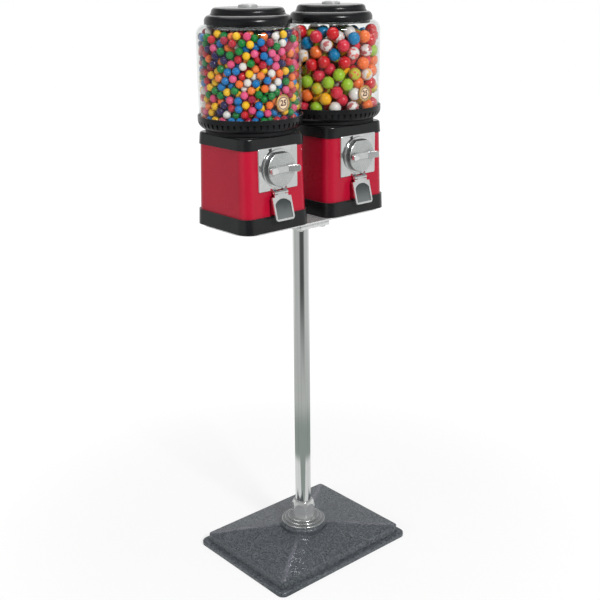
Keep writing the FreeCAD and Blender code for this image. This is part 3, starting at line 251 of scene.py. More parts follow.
class Shader:
    """Node tree of one material or world."""

    def __init__(self, owner):
        owner.use_nodes = True
        self.owner = owner
        self.tree = owner.node_tree
        self.tree.nodes.clear()

    def node(self, kind, settings=None, sockets=None, out=0):
        """Adds a node: its settings first, then the values or links of its sockets."""
        made = self.tree.nodes.new(kind)
        for name, value in (settings or {}).items():
            if name == "stops":
                self._set_stops(made.color_ramp, value)
            elif name == "ramp":
                made.color_ramp.interpolation = value
            else:
                setattr(made, name, value)
        for name, value in (sockets or {}).items():
            if isinstance(value, Link):
                self.tree.links.new(value.socket, made.inputs[name])
            else:
                made.inputs[name].default_value = value
        return Link(self, made.outputs[out]) if made.outputs else made

    @staticmethod
    def _set_stops(ramp, stops):
        while len(ramp.elements) > 1:
            ramp.elements.remove(ramp.elements[-1])
        for number, (place, colour) in enumerate(stops):
            stop = ramp.elements[0] if number == 0 else ramp.elements.new(place)
            stop.position = place
            stop.color = with_alpha(colour)

    def coords(self, scale=None):
        """Object coordinates in metres, or stretched by a scale for each axis."""
        place = self.node("ShaderNodeTexCoord", out="Object")
        if scale is None:
            return place
        return self.node("ShaderNodeMapping", None, {"Vector": place, "Scale": scale})

    def axes(self):
        """Object coordinates as three separate values."""
        split = self.tree.nodes.new("ShaderNodeSeparateXYZ")
        self.tree.links.new(self.coords().socket, split.inputs[0])
        return [Link(self, output) for output in split.outputs]

    def upward(self):
        """How far the surface faces up: 1 on top, 0 on a wall."""
        normal = self.node("ShaderNodeNewGeometry", out="Normal")
        return self.node("ShaderNodeSeparateXYZ", None, {0: normal}, "Z")

    def vector(self, operation, *values, out=0):
        """Vector arithmetic on links or plain vectors."""
        return self.node("ShaderNodeVectorMath", {"operation": operation}, dict(enumerate(values)), out)

    def noise(self, scale, detail=3.0, roughness=0.55, where=None):
        """Noise from 0 to 1, in object coordinates if no others are given."""
        return self.node("ShaderNodeTexNoise", None, {"Vector": where or self.coords(), "Scale": scale,
                                                      "Detail": detail, "Roughness": roughness}, "Fac")

    def streaks(self, scale, detail):
        """Noise stretched by a scale for each axis."""
        return self.noise(1.0, detail, where=self.coords(scale))

    def palette(self, colours, draw):
        """One colour of a list, picked by a draw from 0 to 1."""
        stops = [(number / len(colours), colour) for number, colour in enumerate(colours)]
        return self.node("ShaderNodeValToRGB", {"ramp": "CONSTANT", "stops": stops}, {"Fac": draw}, "Color")

    def mix(self, share, first, second):
        """Blends two colours."""
        return self.node("ShaderNodeMix", {"data_type": "RGBA"},
                         {0: share, 6: with_alpha(first), 7: with_alpha(second)}, 2)

    def blend(self, share, first, second):
        """Blends two surfaces."""
        return self.node("ShaderNodeMixShader", None, {0: share, 1: first, 2: second})

    def bump(self, height, strength, distance):
        """Normal of a surface with a relief."""
        return self.node("ShaderNodeBump", None,
                         {"Height": height, "Strength": strength, "Distance": distance})

    def surface(self, **sockets):
        """Principled surface: socket names with underscores for spaces."""
        named = {name.replace("_", " "): with_alpha(value) for name, value in sockets.items()}
        return self.node("ShaderNodeBsdfPrincipled", None, named)

    def finish(self, surface, kind="ShaderNodeOutputMaterial"):
        """Leads a surface to the output and returns the finished material or world."""
        self.node(kind, None, {"Surface": surface})
        return self.owner


def new_material(name):
    """Shader of a new material."""
    return Shader(bpy.data.materials.new(name))


def scaled(colour, factor):
    """A colour made darker or lighter."""
    return tuple(factor * c for c in colour)


# Finishes of the metal, paint and plastic

def worn_chrome(name, tone, plating):
    """Chrome at the pole's foot, dulled in patches by mops and spanners: plating is how much is left."""
    s = new_material(name)
    cloud = s.noise(70.0, 4.0, 0.6).step(0.35, 0.8)
    scuff = s.streaks((260.0, 260.0, 40.0), 3.0).step(0.6, 0.8)
    return s.finish(s.surface(
        Base_Color=s.mix(cloud * 0.5 + scuff * 0.2, tone, scaled(tone, 0.7)),
        Metallic=plating - scuff * 0.1, Roughness=cloud * 0.05 + scuff * 0.05 + 0.05,
        Normal=s.bump(scuff, 0.02, 0.0002)))


def drawn_chrome(colours):
    """Chrome on drawn tube: polished, with fine marks along the tube."""
    s = new_material("drawn_chrome")
    marks = s.streaks((420.0, 420.0, 5.0), 3.0).step(0.45, 0.75)
    haze = s.noise(14.0, 4.0).step(0.5, 0.85)
    return s.finish(s.surface(
        Base_Color=s.mix(marks * 0.4 + haze * 0.2, colours.chrome[:], (0.52, 0.54, 0.53)),
        Metallic=1.0, Roughness=marks * 0.05 + haze * 0.06 + 0.055,
        Normal=s.bump(marks, 0.05, 0.0002)))


def casting_marks(s):
    """Grain, clouding and scratches of a plated die casting."""
    grain = s.noise(700.0, 4.0, 0.65)
    cloud = s.noise(42.0, 5.0, 0.6)
    scratch = s.streaks((90.0, 90.0, 1400.0), 2.0).step(0.66, 0.74)
    return grain, cloud, scratch


def satin_chrome():
    """Plated die casting of the handles: satin, grained, worn along the scratches."""
    s = new_material("satin_chrome")
    grain, cloud, scratch = casting_marks(s)
    tone = s.mix(cloud.step(0.35, 0.7), (0.72, 0.735, 0.73), (0.84, 0.85, 0.845))
    return s.finish(s.surface(
        Base_Color=s.mix(scratch * 0.4, tone, (0.90, 0.90, 0.89)), Metallic=0.86,
        Roughness=grain * 0.10 + cloud * 0.08 + scratch * 0.05 + 0.14,
        Normal=s.bump(grain * 0.5 + scratch * 0.5, 0.10, 0.0002)))


def coin_plate():
    """Plated face of the coin mechanism, with a duller satin dial, a painted dark reflection on the dial's
    wall and a painted shadow over its flat top.
    """
    s = new_material("coin_plate")
    x, y, z = s.axes()
    grain, cloud, scratch = casting_marks(s)
    face = plate_face("left")
    front = face.y - DIAL_HEIGHT
    dial = 1.0 - y.step(front + DIAL_SATIN[0], front + DIAL_SATIN[1])
    across = (x.absolute() - abs(face.x)).absolute()
    over = z - face.z
    # painted shadow: a dark strip along the top of the dial's flat, where the slot lies in shade
    slot_shadow = (over > DIAL_FLAT) * (over < DIAL_FLAT + DIAL_SLOT_SHADOW)
    slot_shadow = slot_shadow * (across < DIAL_FLAT_HALF) * (y < face.y - DIAL_SLOT_SHADOW_FOOT)
    # painted dark reflection: the dial's wall is painted as dark chrome
    spread = across * across + over * over
    wall = (spread > DIAL_WALL_INSIDE ** 2) * (spread < DIAL_WALL_OUTSIDE ** 2)
    wall = wall * (y < face.y - DIAL_LEDGE)
    bright = s.mix(cloud.step(0.35, 0.7), (0.82, 0.83, 0.825), (0.92, 0.925, 0.92))
    dull = s.mix(cloud.step(0.3, 0.7), (0.58, 0.60, 0.59), (0.68, 0.70, 0.69))
    tone = s.mix(scratch * 0.3, s.mix(dial, bright, dull), (0.92, 0.92, 0.91))
    tone = s.mix(wall * 0.8, tone, (0.12, 0.13, 0.135))
    return s.finish(s.surface(
        Base_Color=s.mix(slot_shadow, tone, (0.02, 0.02, 0.022)),
        Metallic=0.94 - dial * 0.08 - slot_shadow * 0.6,
        Roughness=grain * 0.08 + cloud * 0.04 + dial * 0.16 + 0.05,
        Normal=s.bump(grain * 0.5 + scratch * 0.5, 0.08, 0.0002)))


def door_chrome():
    """Plated chute door: bright rim, and a sunk panel painted dark as a painted reflection, with painted
    shade that lightens downwards.
    """
    s = new_material("door_chrome")
    pin = middle_of("left_chute_door_pin")
    x, y, z = s.axes()
    across = (x.absolute() - abs(pin.x)).absolute()
    out = (pin.y - y) * math.cos(DOOR_TILT) + (z - pin.z) * math.sin(DOOR_TILT)
    down = (pin.y - y) * math.sin(DOOR_TILT) - (z - pin.z) * math.cos(DOOR_TILT)
    panel = (out < DOOR_PANEL_FLOOR) * (out > 0) * (across < DOOR_PANEL_HALF) * (down > DOOR_PANEL_TOP)
    grain = s.noise(700.0, 4.0, 0.65)
    cloud = s.noise(55.0, 5.0, 0.6)
    # the sunk panel's dark colour is a painted dark reflection, with painted shade lightening away from the
    # pin
    sunk = s.mix(down.step(*DOOR_SHADE) * 0.8 + cloud * 0.3, (0.035, 0.045, 0.045), (0.24, 0.26, 0.26))
    bright = s.mix(cloud.step(0.35, 0.7), (0.80, 0.81, 0.805), (0.90, 0.905, 0.90))
    return s.finish(s.surface(
        Base_Color=s.mix(panel, bright, sunk), Metallic=0.9 - panel * 0.25,
        Roughness=grain * 0.10 + cloud * 0.08 + panel * 0.12 + 0.10,
        Normal=s.bump(grain, 0.10, 0.0002)))


def chute_plastic(colours):
    """Black chute whose mouth, outside the body, is painted with the body's enamel, darkened as a painted
    shadow of the door.
    """
    s = new_material("chute_plastic")
    low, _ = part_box("left_body_shell")
    _, y, _ = s.axes()
    painted = y < low.y + MOUTH_PAINT
    grain = s.noise(1200.0, 3.0, 0.6)
    cloud = s.noise(40.0, 4.0)
    black = s.mix(cloud, colours.plastic[:], (0.03, 0.03, 0.03))
    # the mouth takes the body's enamel at 0.8: painted shadow of the door
    return s.finish(s.surface(
        Base_Color=s.mix(painted, black, scaled(colours.enamel[:], 0.8)),
        Roughness=cloud * 0.1 + 0.45 - painted * 0.2, Normal=s.bump(grain, 0.10, 0.0003)))


def zinc_plate(colours):
    """Bright zinc plate with its faint crystal pattern."""
    s = new_material("zinc_plate")
    crystal = s.node("ShaderNodeTexVoronoi", {"feature": "F1"},
                     {"Vector": s.coords(), "Scale": 160.0}, "Color")
    shade = s.node("ShaderNodeRGBToBW", None, {"Color": crystal})
    cloud = s.noise(60.0, 4.0)
    return s.finish(s.surface(
        Base_Color=s.mix(shade * 0.5 + cloud * 0.2, colours.zinc[:], (0.68, 0.69, 0.70)),
        Metallic=0.6, Roughness=shade * 0.12 + cloud * 0.1 + 0.20,
        Normal=s.bump(cloud, 0.08, 0.0005)))


def brass_casting():
    """Plain cast brass of the inner wheels."""
    s = new_material("brass_casting")
    cloud = s.noise(80.0, 5.0)
    grain = s.noise(1200.0, 2.0)
    return s.finish(s.surface(
        Base_Color=s.mix(cloud, (0.58, 0.40, 0.14), (0.78, 0.60, 0.28)), Metallic=1.0,
        Roughness=cloud * 0.2 + grain * 0.1 + 0.22, Normal=s.bump(grain, 0.12, 0.0003)))


def red_enamel(colours):
    """Gloss powder coat on sheet steel: orange peel, slight clouding and dust."""
    s = new_material("red_enamel")
    red = colours.enamel[:]
    cloud = s.noise(11.0, 4.0)
    peel = s.noise(420.0, 2.0, 0.4)
    dust = s.noise(260.0, 5.0, 0.7).step(0.62, 0.8)
    tone = s.mix(cloud.step(0.3, 0.75), red, (red[0] * 1.12, red[1] * 1.3, red[2] * 1.12))
    return s.finish(s.surface(
        Base_Color=s.mix(dust * 0.05, tone, (0.55, 0.30, 0.30)),
        Roughness=cloud * 0.08 + dust * 0.12 + 0.22, Specular_IOR_Level=0.30,
        Coat_Weight=0.12, Coat_Roughness=0.08, Normal=s.bump(peel, 0.05, 0.0006)))


def moulded_black(name, colours, roughness, grain_strength, top_dust_and_light, sheen, rubbed_from=None):
    """Black moulded plastic: mould grain, dust and patches, what faces up lightened partly by dust and partly
    as painted top light, rubbed grey over a height where one is given.
    """
    s = new_material(name)
    black = colours.plastic[:]
    grain = s.noise(1500.0, 3.0, 0.6)
    cloud = s.noise(30.0, 5.0, 0.6)
    dust = s.noise(180.0, 6.0, 0.7).step(0.55, 0.85)
    # what faces up is lightened: partly settled dust, partly a painted top light
    settled_dust_and_top_light = s.upward().step(0.8, 1.0) * (cloud * 0.5 + 0.45)
    tone = s.mix(cloud.step(0.35, 0.75), black, scaled(black, 1.5))
    tone = s.mix(settled_dust_and_top_light * top_dust_and_light, tone, (0.42, 0.42, 0.42))
    if rubbed_from is not None:
        rubbed = s.axes()[2].step(rubbed_from, rubbed_from + BOSS_FADE)
        tone = s.mix(rubbed * 0.85, tone, (0.40, 0.405, 0.405))
    return s.finish(s.surface(
        Base_Color=s.mix(dust * 0.05, tone, (0.14, 0.14, 0.14)),
        Roughness=cloud * 0.08 + dust * 0.10 + roughness, Specular_IOR_Level=sheen,
        Normal=s.bump(grain, grain_strength, 0.0003)))


def rubbed_hips(s):
    """1 along the hips of the base, where a highlight is painted, and less towards the pole."""
    x, y, z = s.axes()
    along = (HIP_FOOT - HIP_TOP).normalized()
    aside = (x.absolute() - HIP_TOP.x) * along.y - (y.absolute() - HIP_TOP.y) * along.x
    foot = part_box("base_casting")[1].z - HIP_RISE
    hip_highlight = (1.0 - aside.absolute().step(*HIP_STRIP)) * z.step(foot - HIP_FADE, foot + HIP_FADE)
    return hip_highlight * (x.absolute().step(*HIP_HIGHLIGHT_REACH) * 0.8 + 0.2)


def hammer_paint(colours):
    """Hammer paint on iron: shallow cells and light flecks over a lumpy casting, with a painted highlight
    along its hips.
    """
    s = new_material("hammer_paint")
    hip_highlight = rubbed_hips(s)
    warp = s.noise(120.0, 3.0)
    shift = s.node("ShaderNodeCombineXYZ", None, {"X": warp * 0.004, "Y": warp * 0.003})
    cells = s.node("ShaderNodeTexVoronoi", {"feature": "SMOOTH_F1"},
                   {"Vector": s.vector("ADD", s.coords(), shift), "Scale": 230.0, "Smoothness": 0.4},
                   "Distance")
    fleck = s.noise(330.0, 4.0, 0.75).step(0.46, 0.60)
    lumps = s.noise(34.0, 4.0)
    share = cells.step(0.15, 0.65) * 0.45 + fleck * 0.55
    tone = s.mix(share, colours.hammer[:], colours.hammer_fleck[:])
    tone = s.mix(lumps.step(0.35, 0.75) * 0.30, tone, (0.062, 0.064, 0.085))
    # painted highlight: a flecked purple-white band along the hips
    tone = s.mix(hip_highlight * (fleck * 0.45 + 0.12), tone, (0.36, 0.355, 0.42))
    return s.finish(s.surface(
        Base_Color=tone, Metallic=share * 0.3 + 0.1,
        Roughness=0.26 - share * 0.06 + lumps * 0.06,
        Normal=s.bump(cells * 0.7 + fleck * 0.25 + lumps * 0.5, 0.35, 0.0010)))


def clear_plastic():
    """Blown clear plastic: bare wall with a glossy film that grows towards its edges, haze and scuffs."""
    s = new_material("clear_plastic")
    haze = s.noise(22.0, 4.0).step(0.45, 0.9)
    scuff = s.streaks((300.0, 300.0, 30.0), 2.0).step(0.70, 0.80)
    edge = s.node("ShaderNodeLayerWeight", None, {"Blend": 0.5}, "Facing")
    film = s.surface(Base_Color=s.mix(haze, (0.60, 0.63, 0.61), (0.70, 0.72, 0.70)), Metallic=1.0,
                     Roughness=haze * 0.03 + scuff * 0.06 + 0.02)
    share = edge ** 4.0 * 0.6 + scuff * 0.012 + haze * 0.01 + 0.03
    wall = s.node("ShaderNodeBsdfTransparent", None, {"Color": (0.985, 0.99, 0.987, 1.0)})
    return s.finish(s.blend(share, wall, film))


def white_plastic():
    """White moulded plastic of the dispensing wheels."""
    s = new_material("white_plastic")
    cloud = s.noise(45.0, 5.0)
    grain = s.noise(1400.0, 2.0)
    return s.finish(s.surface(
        Base_Color=s.mix(cloud, (0.74, 0.73, 0.69), (0.84, 0.84, 0.81)),
        Roughness=cloud * 0.15 + 0.32, Normal=s.bump(grain, 0.08, 0.0003)))


ZINC_NODES = ("pole_head", "twin_mount_plate", "head_screws", "lid_lock_barrel", "lid_lock_plug",
              "center_rod", "chute_door_pin", "mech_back_plate", "mech_screws", "spindle", "pawl",
              "pawl_spring")


def finish_table(colours):
    """The finish of each CAD node, by its name without the side."""
    boss_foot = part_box("left_lid")[1].z - LOCK_BOSS_HEIGHT
    case_black = moulded_black("satin_black", colours, 0.20, 0.06, 0.15, 0.40)
    inner_black = moulded_black("matte_black", colours, 0.55, 0.15, 0.0, 0.14)
    brass = brass_casting()
    white = white_plastic()
    table = dict.fromkeys(ZINC_NODES, zinc_plate(colours))
    table.update({
        "base_casting": hammer_paint(colours),
        "base_flange": worn_chrome("flange_chrome", (0.66, 0.68, 0.67), 0.92),
        "pole_lock_nut": worn_chrome("nut_chrome", (0.84, 0.85, 0.845), 0.72),
        "pole": drawn_chrome(colours),
        "base_tray": case_black,
        "body_shell": red_enamel(colours),
        "top_collar": case_black,
        "hopper": inner_black,
        "wheel_cup": inner_black,
        "globe_ring": moulded_black("ring_black", colours, 0.24, 0.06, 0.3, 0.22),
        "globe": clear_plastic(),
        "lid": moulded_black("gloss_black", colours, 0.20, 0.04, 1.0, 0.24, boss_foot),
        "dispensing_wheel": white,
        "cutoff_cover": white,
        "chute": chute_plastic(colours),
        "chute_door": door_chrome(),
        "mech_face_plate": coin_plate(),
        "handle": satin_chrome(),
        "coin_carrier": brass,
        "drive_pinion": brass,
    })
    return table


# Objects and meshes

def add_object(name, data):
    """Links a new object to the scene."""
    made = bpy.data.objects.new(name, data)
    bpy.context.scene.collection.objects.link(made)
    return made


def add_piece(name, mesh, body):
    """Links a finished mesh to the scene and rides it on a body of the frame."""
    mesh.name = name
    piece = add_object(name, mesh)
    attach(piece, body)
    return piece


def shown_mesh(helper):
    """Mesh that a helper object shows. The helper is removed."""
    graph = bpy.context.evaluated_depsgraph_get()
    mesh = bpy.data.meshes.new_from_object(helper.evaluated_get(graph), depsgraph=graph)
    bpy.data.objects.remove(helper)
    return mesh


def closed_mesh(bm, name):
    """Turns a closed bmesh into a mesh with its normals outwards."""
    bmesh.ops.recalc_face_normals(bm, faces=bm.faces)
    mesh = bpy.data.meshes.new(name)
    bm.to_mesh(mesh)
    bm.free()
    return mesh


# Candy

CANDY_COLOURS = {
    "left": [(0.80, 0.10, 0.25), (0.58, 0.012, 0.026), (0.36, 0.008, 0.045), (0.90, 0.17, 0.02),
             (0.90, 0.51, 0.012), (0.76, 0.73, 0.70), (0.0, 0.21, 0.035), (0.0, 0.17, 0.48),
             (0.018, 0.008, 0.085), (0.74, 0.07, 0.19), (0.0, 0.21, 0.035), (0.90, 0.51, 0.012),
             (0.0, 0.17, 0.48), (0.50, 0.010, 0.030), (0.88, 0.22, 0.05), (0.018, 0.008, 0.085)],
    "right": [(0.62, 0.012, 0.018), (0.33, 0.54, 0.03), (0.76, 0.72, 0.70), (0.0, 0.19, 0.42),
              (0.93, 0.45, 0.01), (0.90, 0.17, 0.03), (0.68, 0.03, 0.06), (0.93, 0.45, 0.01),
              (0.76, 0.72, 0.70), (0.50, 0.48, 0.03)],
}
SPLASH_COLOURS = [(0.45, 0.015, 0.02), (0.75, 0.06, 0.05), (0.85, 0.42, 0.02)]
SPLASHED_SIDE = "right"
SPLASHED = 0.80           # balls whose draw lies over this have a second colour
SPLASH_SHUFFLE = 37.0     # makes a second draw out of the first


def candy_shell(side):
    """Glossy sugar shell: a colour for each ball, and splashes of a second one on some of the large ones."""
    s = new_material(side + "_candy")
    draw = s.node("ShaderNodeAttribute", {"attribute_name": "candy"}, None, "Fac")
    local = s.node("ShaderNodeAttribute", {"attribute_name": "local"}, None, "Vector")
    tone = s.palette(CANDY_COLOURS[side], draw)
    mottle = s.noise(2.2, 3.0, where=local)
    if side == SPLASHED_SIDE:
        second_draw = s.node("ShaderNodeMath", {"operation": "FRACT"}, {0: draw * SPLASH_SHUFFLE})
        splash = s.noise(1.5, 1.0, where=local).step(0.50, 0.56) * (draw > SPLASHED)
        tone = s.mix(splash * 0.85, tone, s.palette(SPLASH_COLOURS, second_draw))
    tone = s.mix(mottle.step(0.5, 0.8) * 0.04, tone, (0.9, 0.9, 0.9))
    return s.finish(s.surface(
        Base_Color=tone, Roughness=mottle * 0.10 + 0.16, Specular_IOR_Level=0.4,
        Coat_Weight=0.3, Coat_Roughness=0.10,
        Normal=s.bump(s.noise(9.0, 3.0, where=local), 0.06, 0.001)))


DROPS = 220               # spots tried for each ball
ROLLS = 40                # steps tried on its way into the hollow
ROLL_SPREADS = (0, 0.5, 0.2, 0.08, 0.03)      # length of those steps in diameters, after the drop itself
BALL_PLAY = 0.0004        # between a ball and the globe's wall
BALL_SHRINK = 0.996       # shown diameter, so that balls that touch don't cut into each other
BALL_SUBDIVISIONS = 2
WALL_LAYERS = 2.4         # depth of the heap that is kept at the wall and on top, in diameters
TOP_LAYERS = 1.6
OUT_OF_ROOM = 9.0         # height given to a spot where no ball fits
ROUNDING = 1e-6


def pour_balls(side, diameter, headroom, seed):
    """Centres of a heap of balls: each one drops at random spots and rolls into the lowest hollow."""
    draw = np.random.default_rng(seed)
    low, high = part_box(side + "_globe")
    centre = (low + high) / 2
    radius = diameter / 2
    wall = globe_radius(side) - GLOBE_WALL - radius - BALL_PLAY
    shoulder_z = high.z - GLOBE_SHOULDER
    shoulder_r = globe_radius(side) - GLOBE_SHOULDER
    shoulder_room = max(GLOBE_SHOULDER - GLOBE_WALL - radius - BALL_PLAY, 0.0)
    top = high.z - headroom - radius
    floor = low.z - RING_SEAT + radius
    rod_r = ROD_RADIUS + radius
    heap = np.zeros((0, 3))

    def resting(spots):
        """Height at which a ball dropped at each spot comes to rest."""
        height = np.full(len(spots), floor)
        near = heap[heap[:, 2] > level - 2 * diameter]
        if len(near):
            flat = ((spots[:, None, :] - near[None, :, :2]) ** 2).sum(2)
            lift = near[None, :, 2] + np.sqrt(np.maximum(diameter ** 2 - flat, 0))
            height = np.maximum(height, np.where(flat < diameter ** 2, lift, -1).max(1))
        reach = np.linalg.norm(spots, axis=1)
        edge = np.sqrt(np.maximum(shoulder_room ** 2 - np.maximum(height - shoulder_z, 0) ** 2, 0))
        room = np.where(height > shoulder_z, shoulder_r + edge, wall)
        return np.where((reach > room + ROUNDING) | (reach < rod_r), OUT_OF_ROOM, height)

    def inside(spots):
        """Spots drawn in to the wall."""
        reach = np.linalg.norm(spots, axis=1, keepdims=True)
        return spots * np.minimum(1, wall / np.maximum(reach, 1e-9))

    level = floor
    while True:
        angle = draw.uniform(0, 2 * math.pi, DROPS)
        spread_out = wall * np.sqrt(draw.uniform(0, 1, DROPS))
        reach = np.where(np.arange(DROPS) < DROPS // 3, wall, spread_out)
        spots = np.stack([reach * np.cos(angle), reach * np.sin(angle)], 1)
        for spread in ROLL_SPREADS:
            if spread:
                steps = draw.normal(0, spread * diameter, (ROLLS, 2))
                spots = inside(np.vstack([best, best + steps]))
            heights = resting(spots)
            best = spots[heights.argmin()]
        level = heights.min()
        if level > top:
            break
        heap = np.vstack([heap, [best[0], best[1], level]])
    reach = np.linalg.norm(heap[:, :2], axis=1)
    kept = (reach > wall - WALL_LAYERS * diameter) | (heap[:, 2] > top - TOP_LAYERS * diameter)
    return heap[kept] + np.array([centre.x, centre.y, 0])


def candy_tree():
    """Geometry Nodes that put a ball on every point, each with its own turn and draw for the colour."""
    tree = bpy.data.node_groups.new("candy_heap", "GeometryNodeTree")
    for name, kind, way in (("Centres", "NodeSocketGeometry", "INPUT"),
                            ("Ball diameter", "NodeSocketFloat", "INPUT"),
                            ("Seed", "NodeSocketInt", "INPUT"),
                            ("Shell", "NodeSocketMaterial", "INPUT"),
                            ("Heap", "NodeSocketGeometry", "OUTPUT")):
        tree.interface.new_socket(name, in_out=way, socket_type=kind)

    def add(kind, values=None, **settings):
        """Adds a node: its settings first, then the values of its sockets."""
        made = tree.nodes.new(kind)
        for name, value in settings.items():
            setattr(made, name, value)
        for socket, value in (values or {}).items():
            made.inputs[socket].default_value = value
        return made

    given = add("NodeGroupInput")
    half = add("ShaderNodeMath", {1: 2.0}, operation="DIVIDE")
    ball = add("GeometryNodeMeshIcoSphere", {"Subdivisions": BALL_SUBDIVISIONS})
    place = add("GeometryNodeInputPosition")
    unit = add("ShaderNodeVectorMath", operation="NORMALIZE")
    local = add("GeometryNodeStoreNamedAttribute", {"Name": "local"}, data_type="FLOAT_VECTOR")
    colour = add("FunctionNodeRandomValue", data_type="FLOAT")
    kept = add("GeometryNodeStoreNamedAttribute", {"Name": "candy"}, data_type="FLOAT")
    turn = add("FunctionNodeRandomValue", {1: (2 * math.pi,) * 3}, data_type="FLOAT_VECTOR")
    put = add("GeometryNodeInstanceOnPoints")
    real = add("GeometryNodeRealizeInstances")
    smooth = add("GeometryNodeSetShadeSmooth")
    paint = add("GeometryNodeSetMaterial")
    result = add("NodeGroupOutput")
    for source, output, target, socket in (
            (given, "Ball diameter", half, 0), (half, 0, ball, "Radius"), (ball, "Mesh", local, "Geometry"),
            (place, 0, unit, 0), (unit, 0, local, "Value"), (given, "Seed", colour, "Seed"),
            (given, "Seed", turn, "Seed"), (given, "Centres", kept, "Geometry"), (colour, 1, kept, "Value"),
            (kept, 0, put, "Points"), (local, 0, put, "Instance"), (turn, 0, put, "Rotation"),
            (put, 0, real, 0), (real, 0, smooth, 0), (smooth, 0, paint, "Geometry"),
            (given, "Shell", paint, "Material"), (paint, 0, result, 0)):
        tree.links.new(source.outputs[output], target.inputs[socket])
    return tree


def grown_mesh(seed_mesh, tree, inputs, name):
    """Runs a node tree on a mesh and returns the result as a plain mesh."""
    holder = add_object(name + "_seed", seed_mesh)
    modifier = holder.modifiers.new("grow", "NODES")
    modifier.node_group = tree
    for item in tree.interface.items_tree:
        if item.in_out == "INPUT" and item.name in inputs:
            modifier[item.identifier] = inputs[item.name]
    return shown_mesh(holder)


# Labels and dial marks

LABEL_SEGMENTS = 56
LABEL_RINGS = (0.3, 0.6, 0.80, 0.93)  # shares of the paper's radius, with ink between the last two
LABEL_RIM_ROUND = 0.3  # share of the rim's width in each of its slopes
LABEL_PAPER_HEIGHT = 0.0001
LABEL_RIM_HEIGHT = 0.00035
LABEL_EDGE_HEIGHT = 0.00015
LABEL_STAND_OFF = 0.00005  # from the globe
LABEL_INK = (0.045, 0.014, 0.010)
PAPER, GILT, INK = range(3)  # places of the label's finishes
NUMBER_SIZE = 0.46  # in the label's diameter
NUMBER_DEPTH = 0.00004
NUMBER_STAND_OFF = 0.0002
NUMBER_WEIGHT = 0.03  # how much bolder than the plain font, in its size


def wrap(mesh, side, height, stand_off):
    """Bends a flat mesh, drawn in x and y with z outwards, round the front of a globe."""
    centre = middle_of(side + "_globe")
    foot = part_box(side + "_globe")[0].z
    radius = globe_radius(side) + stand_off
    for vertex in mesh.vertices:
        x, y, z = vertex.co
        angle = x / radius
        reach = radius + z
        vertex.co = (centre.x + reach * math.sin(angle), centre.y - reach * math.cos(angle),
                     foot + height + y)
    mesh.update()


def disc(radii, heights, segments, bands):
    """Round flat piece from rings of vertices, closed underneath. bands gives each ring's material."""
    bm = bmesh.new()
    rings = []
    for radius, height in zip(radii, heights):
        ring = []
        for n in range(segments):
            angle = 2 * math.pi * n / segments
            ring.append(bm.verts.new((radius * math.cos(angle), radius * math.sin(angle), height)))
        rings.append(ring)
    for inner, outer, band in zip(rings, rings[1:], bands):
        for n in range(segments):
            m = (n + 1) % segments
            face = bm.faces.new((inner[n], outer[n], outer[m], inner[m]))
            face.material_index = band
            face.smooth = True
    hub = bm.verts.new((0, 0, heights[0]))
    back = bm.verts.new((0, 0, heights[-1]))
    for n in range(segments):
        m = (n + 1) % segments
        bm.faces.new((hub, rings[0][n], rings[0][m])).smooth = True
        bm.faces.new((back, rings[-1][m], rings[-1][n]))
    return closed_mesh(bm, "disc")


def label_mesh(radius, rim):
    """Flat label: paper with an ink ring, in a raised rim."""
    inner = radius - rim
    radii = [inner * share for share in LABEL_RINGS]
    radii += [inner, inner + rim * LABEL_RIM_ROUND, radius - rim * LABEL_RIM_ROUND, radius, radius]
    heights = [LABEL_PAPER_HEIGHT] * 5 + [LABEL_RIM_HEIGHT] * 2 + [LABEL_EDGE_HEIGHT, 0.0]
    return disc(radii, heights, LABEL_SEGMENTS, [PAPER, PAPER, INK, PAPER] + [GILT] * 4)


def number_mesh(number, size, thickness):
    """Plain number as a thin mesh about the origin."""
    text = bpy.data.curves.new("number", "FONT")
    text.body = str(number)
    text.size = size
    text.align_x = "CENTER"
    text.align_y = "CENTER"
    text.extrude = thickness
    text.resolution_u = 4
    text.offset = size * NUMBER_WEIGHT
    return shown_mesh(add_object("number_seed", text))


def label_paper(settings):
    """Aged paper with fibres and stains."""
    s = new_material("label_paper")
    fibre = s.noise(900.0, 5.0, 0.7)
    stain = s.noise(110.0, 4.0)
    paper = settings.paper[:]
    aged = (paper[0] * 0.72, paper[1] * 0.62, paper[2] * 0.50)
    return s.finish(s.surface(
        Base_Color=s.mix(stain.step(0.4, 0.8) * 0.4 + fibre * 0.25, paper, aged),
        Roughness=fibre * 0.15 + 0.38, Normal=s.bump(fibre, 0.06, 0.0002)))


def label_gilt(settings):
    """Gilt print, worn in patches."""
    s = new_material("label_gilt")
    worn = s.noise(420.0, 4.0).step(0.45, 0.75)
    gilt = settings.gilt[:]
    return s.finish(s.surface(
        Base_Color=s.mix(worn, gilt, scaled(gilt, 0.55)), Metallic=0.8 - worn * 0.4,
        Roughness=worn * 0.2 + 0.28))


def ink(name, tone):
    """Dark ink or paint, worn in patches."""
    s = new_material(name)
    worn = s.noise(800.0, 4.0).step(0.5, 0.8)
    return s.finish(s.surface(
        Base_Color=s.mix(worn * 0.5, tone, tuple(2.2 * c + 0.01 for c in tone)),
        Roughness=worn * 0.2 + 0.4))


ARROW_PAINT = (0.018, 0.018, 0.020)
ARROW_TAIL = Vector((-0.0230, 0.0255))    # from the dial's centre, seen from the front
ARROW_TIP = Vector((-0.0145, 0.0373))
ARROW_WIDTH = 0.0040
ARROW_HEAD_WIDTH = 0.0112
ARROW_HEAD_LENGTH = 0.0068
MARK_DEPTH = 0.00012      # a third of it lies in the plate


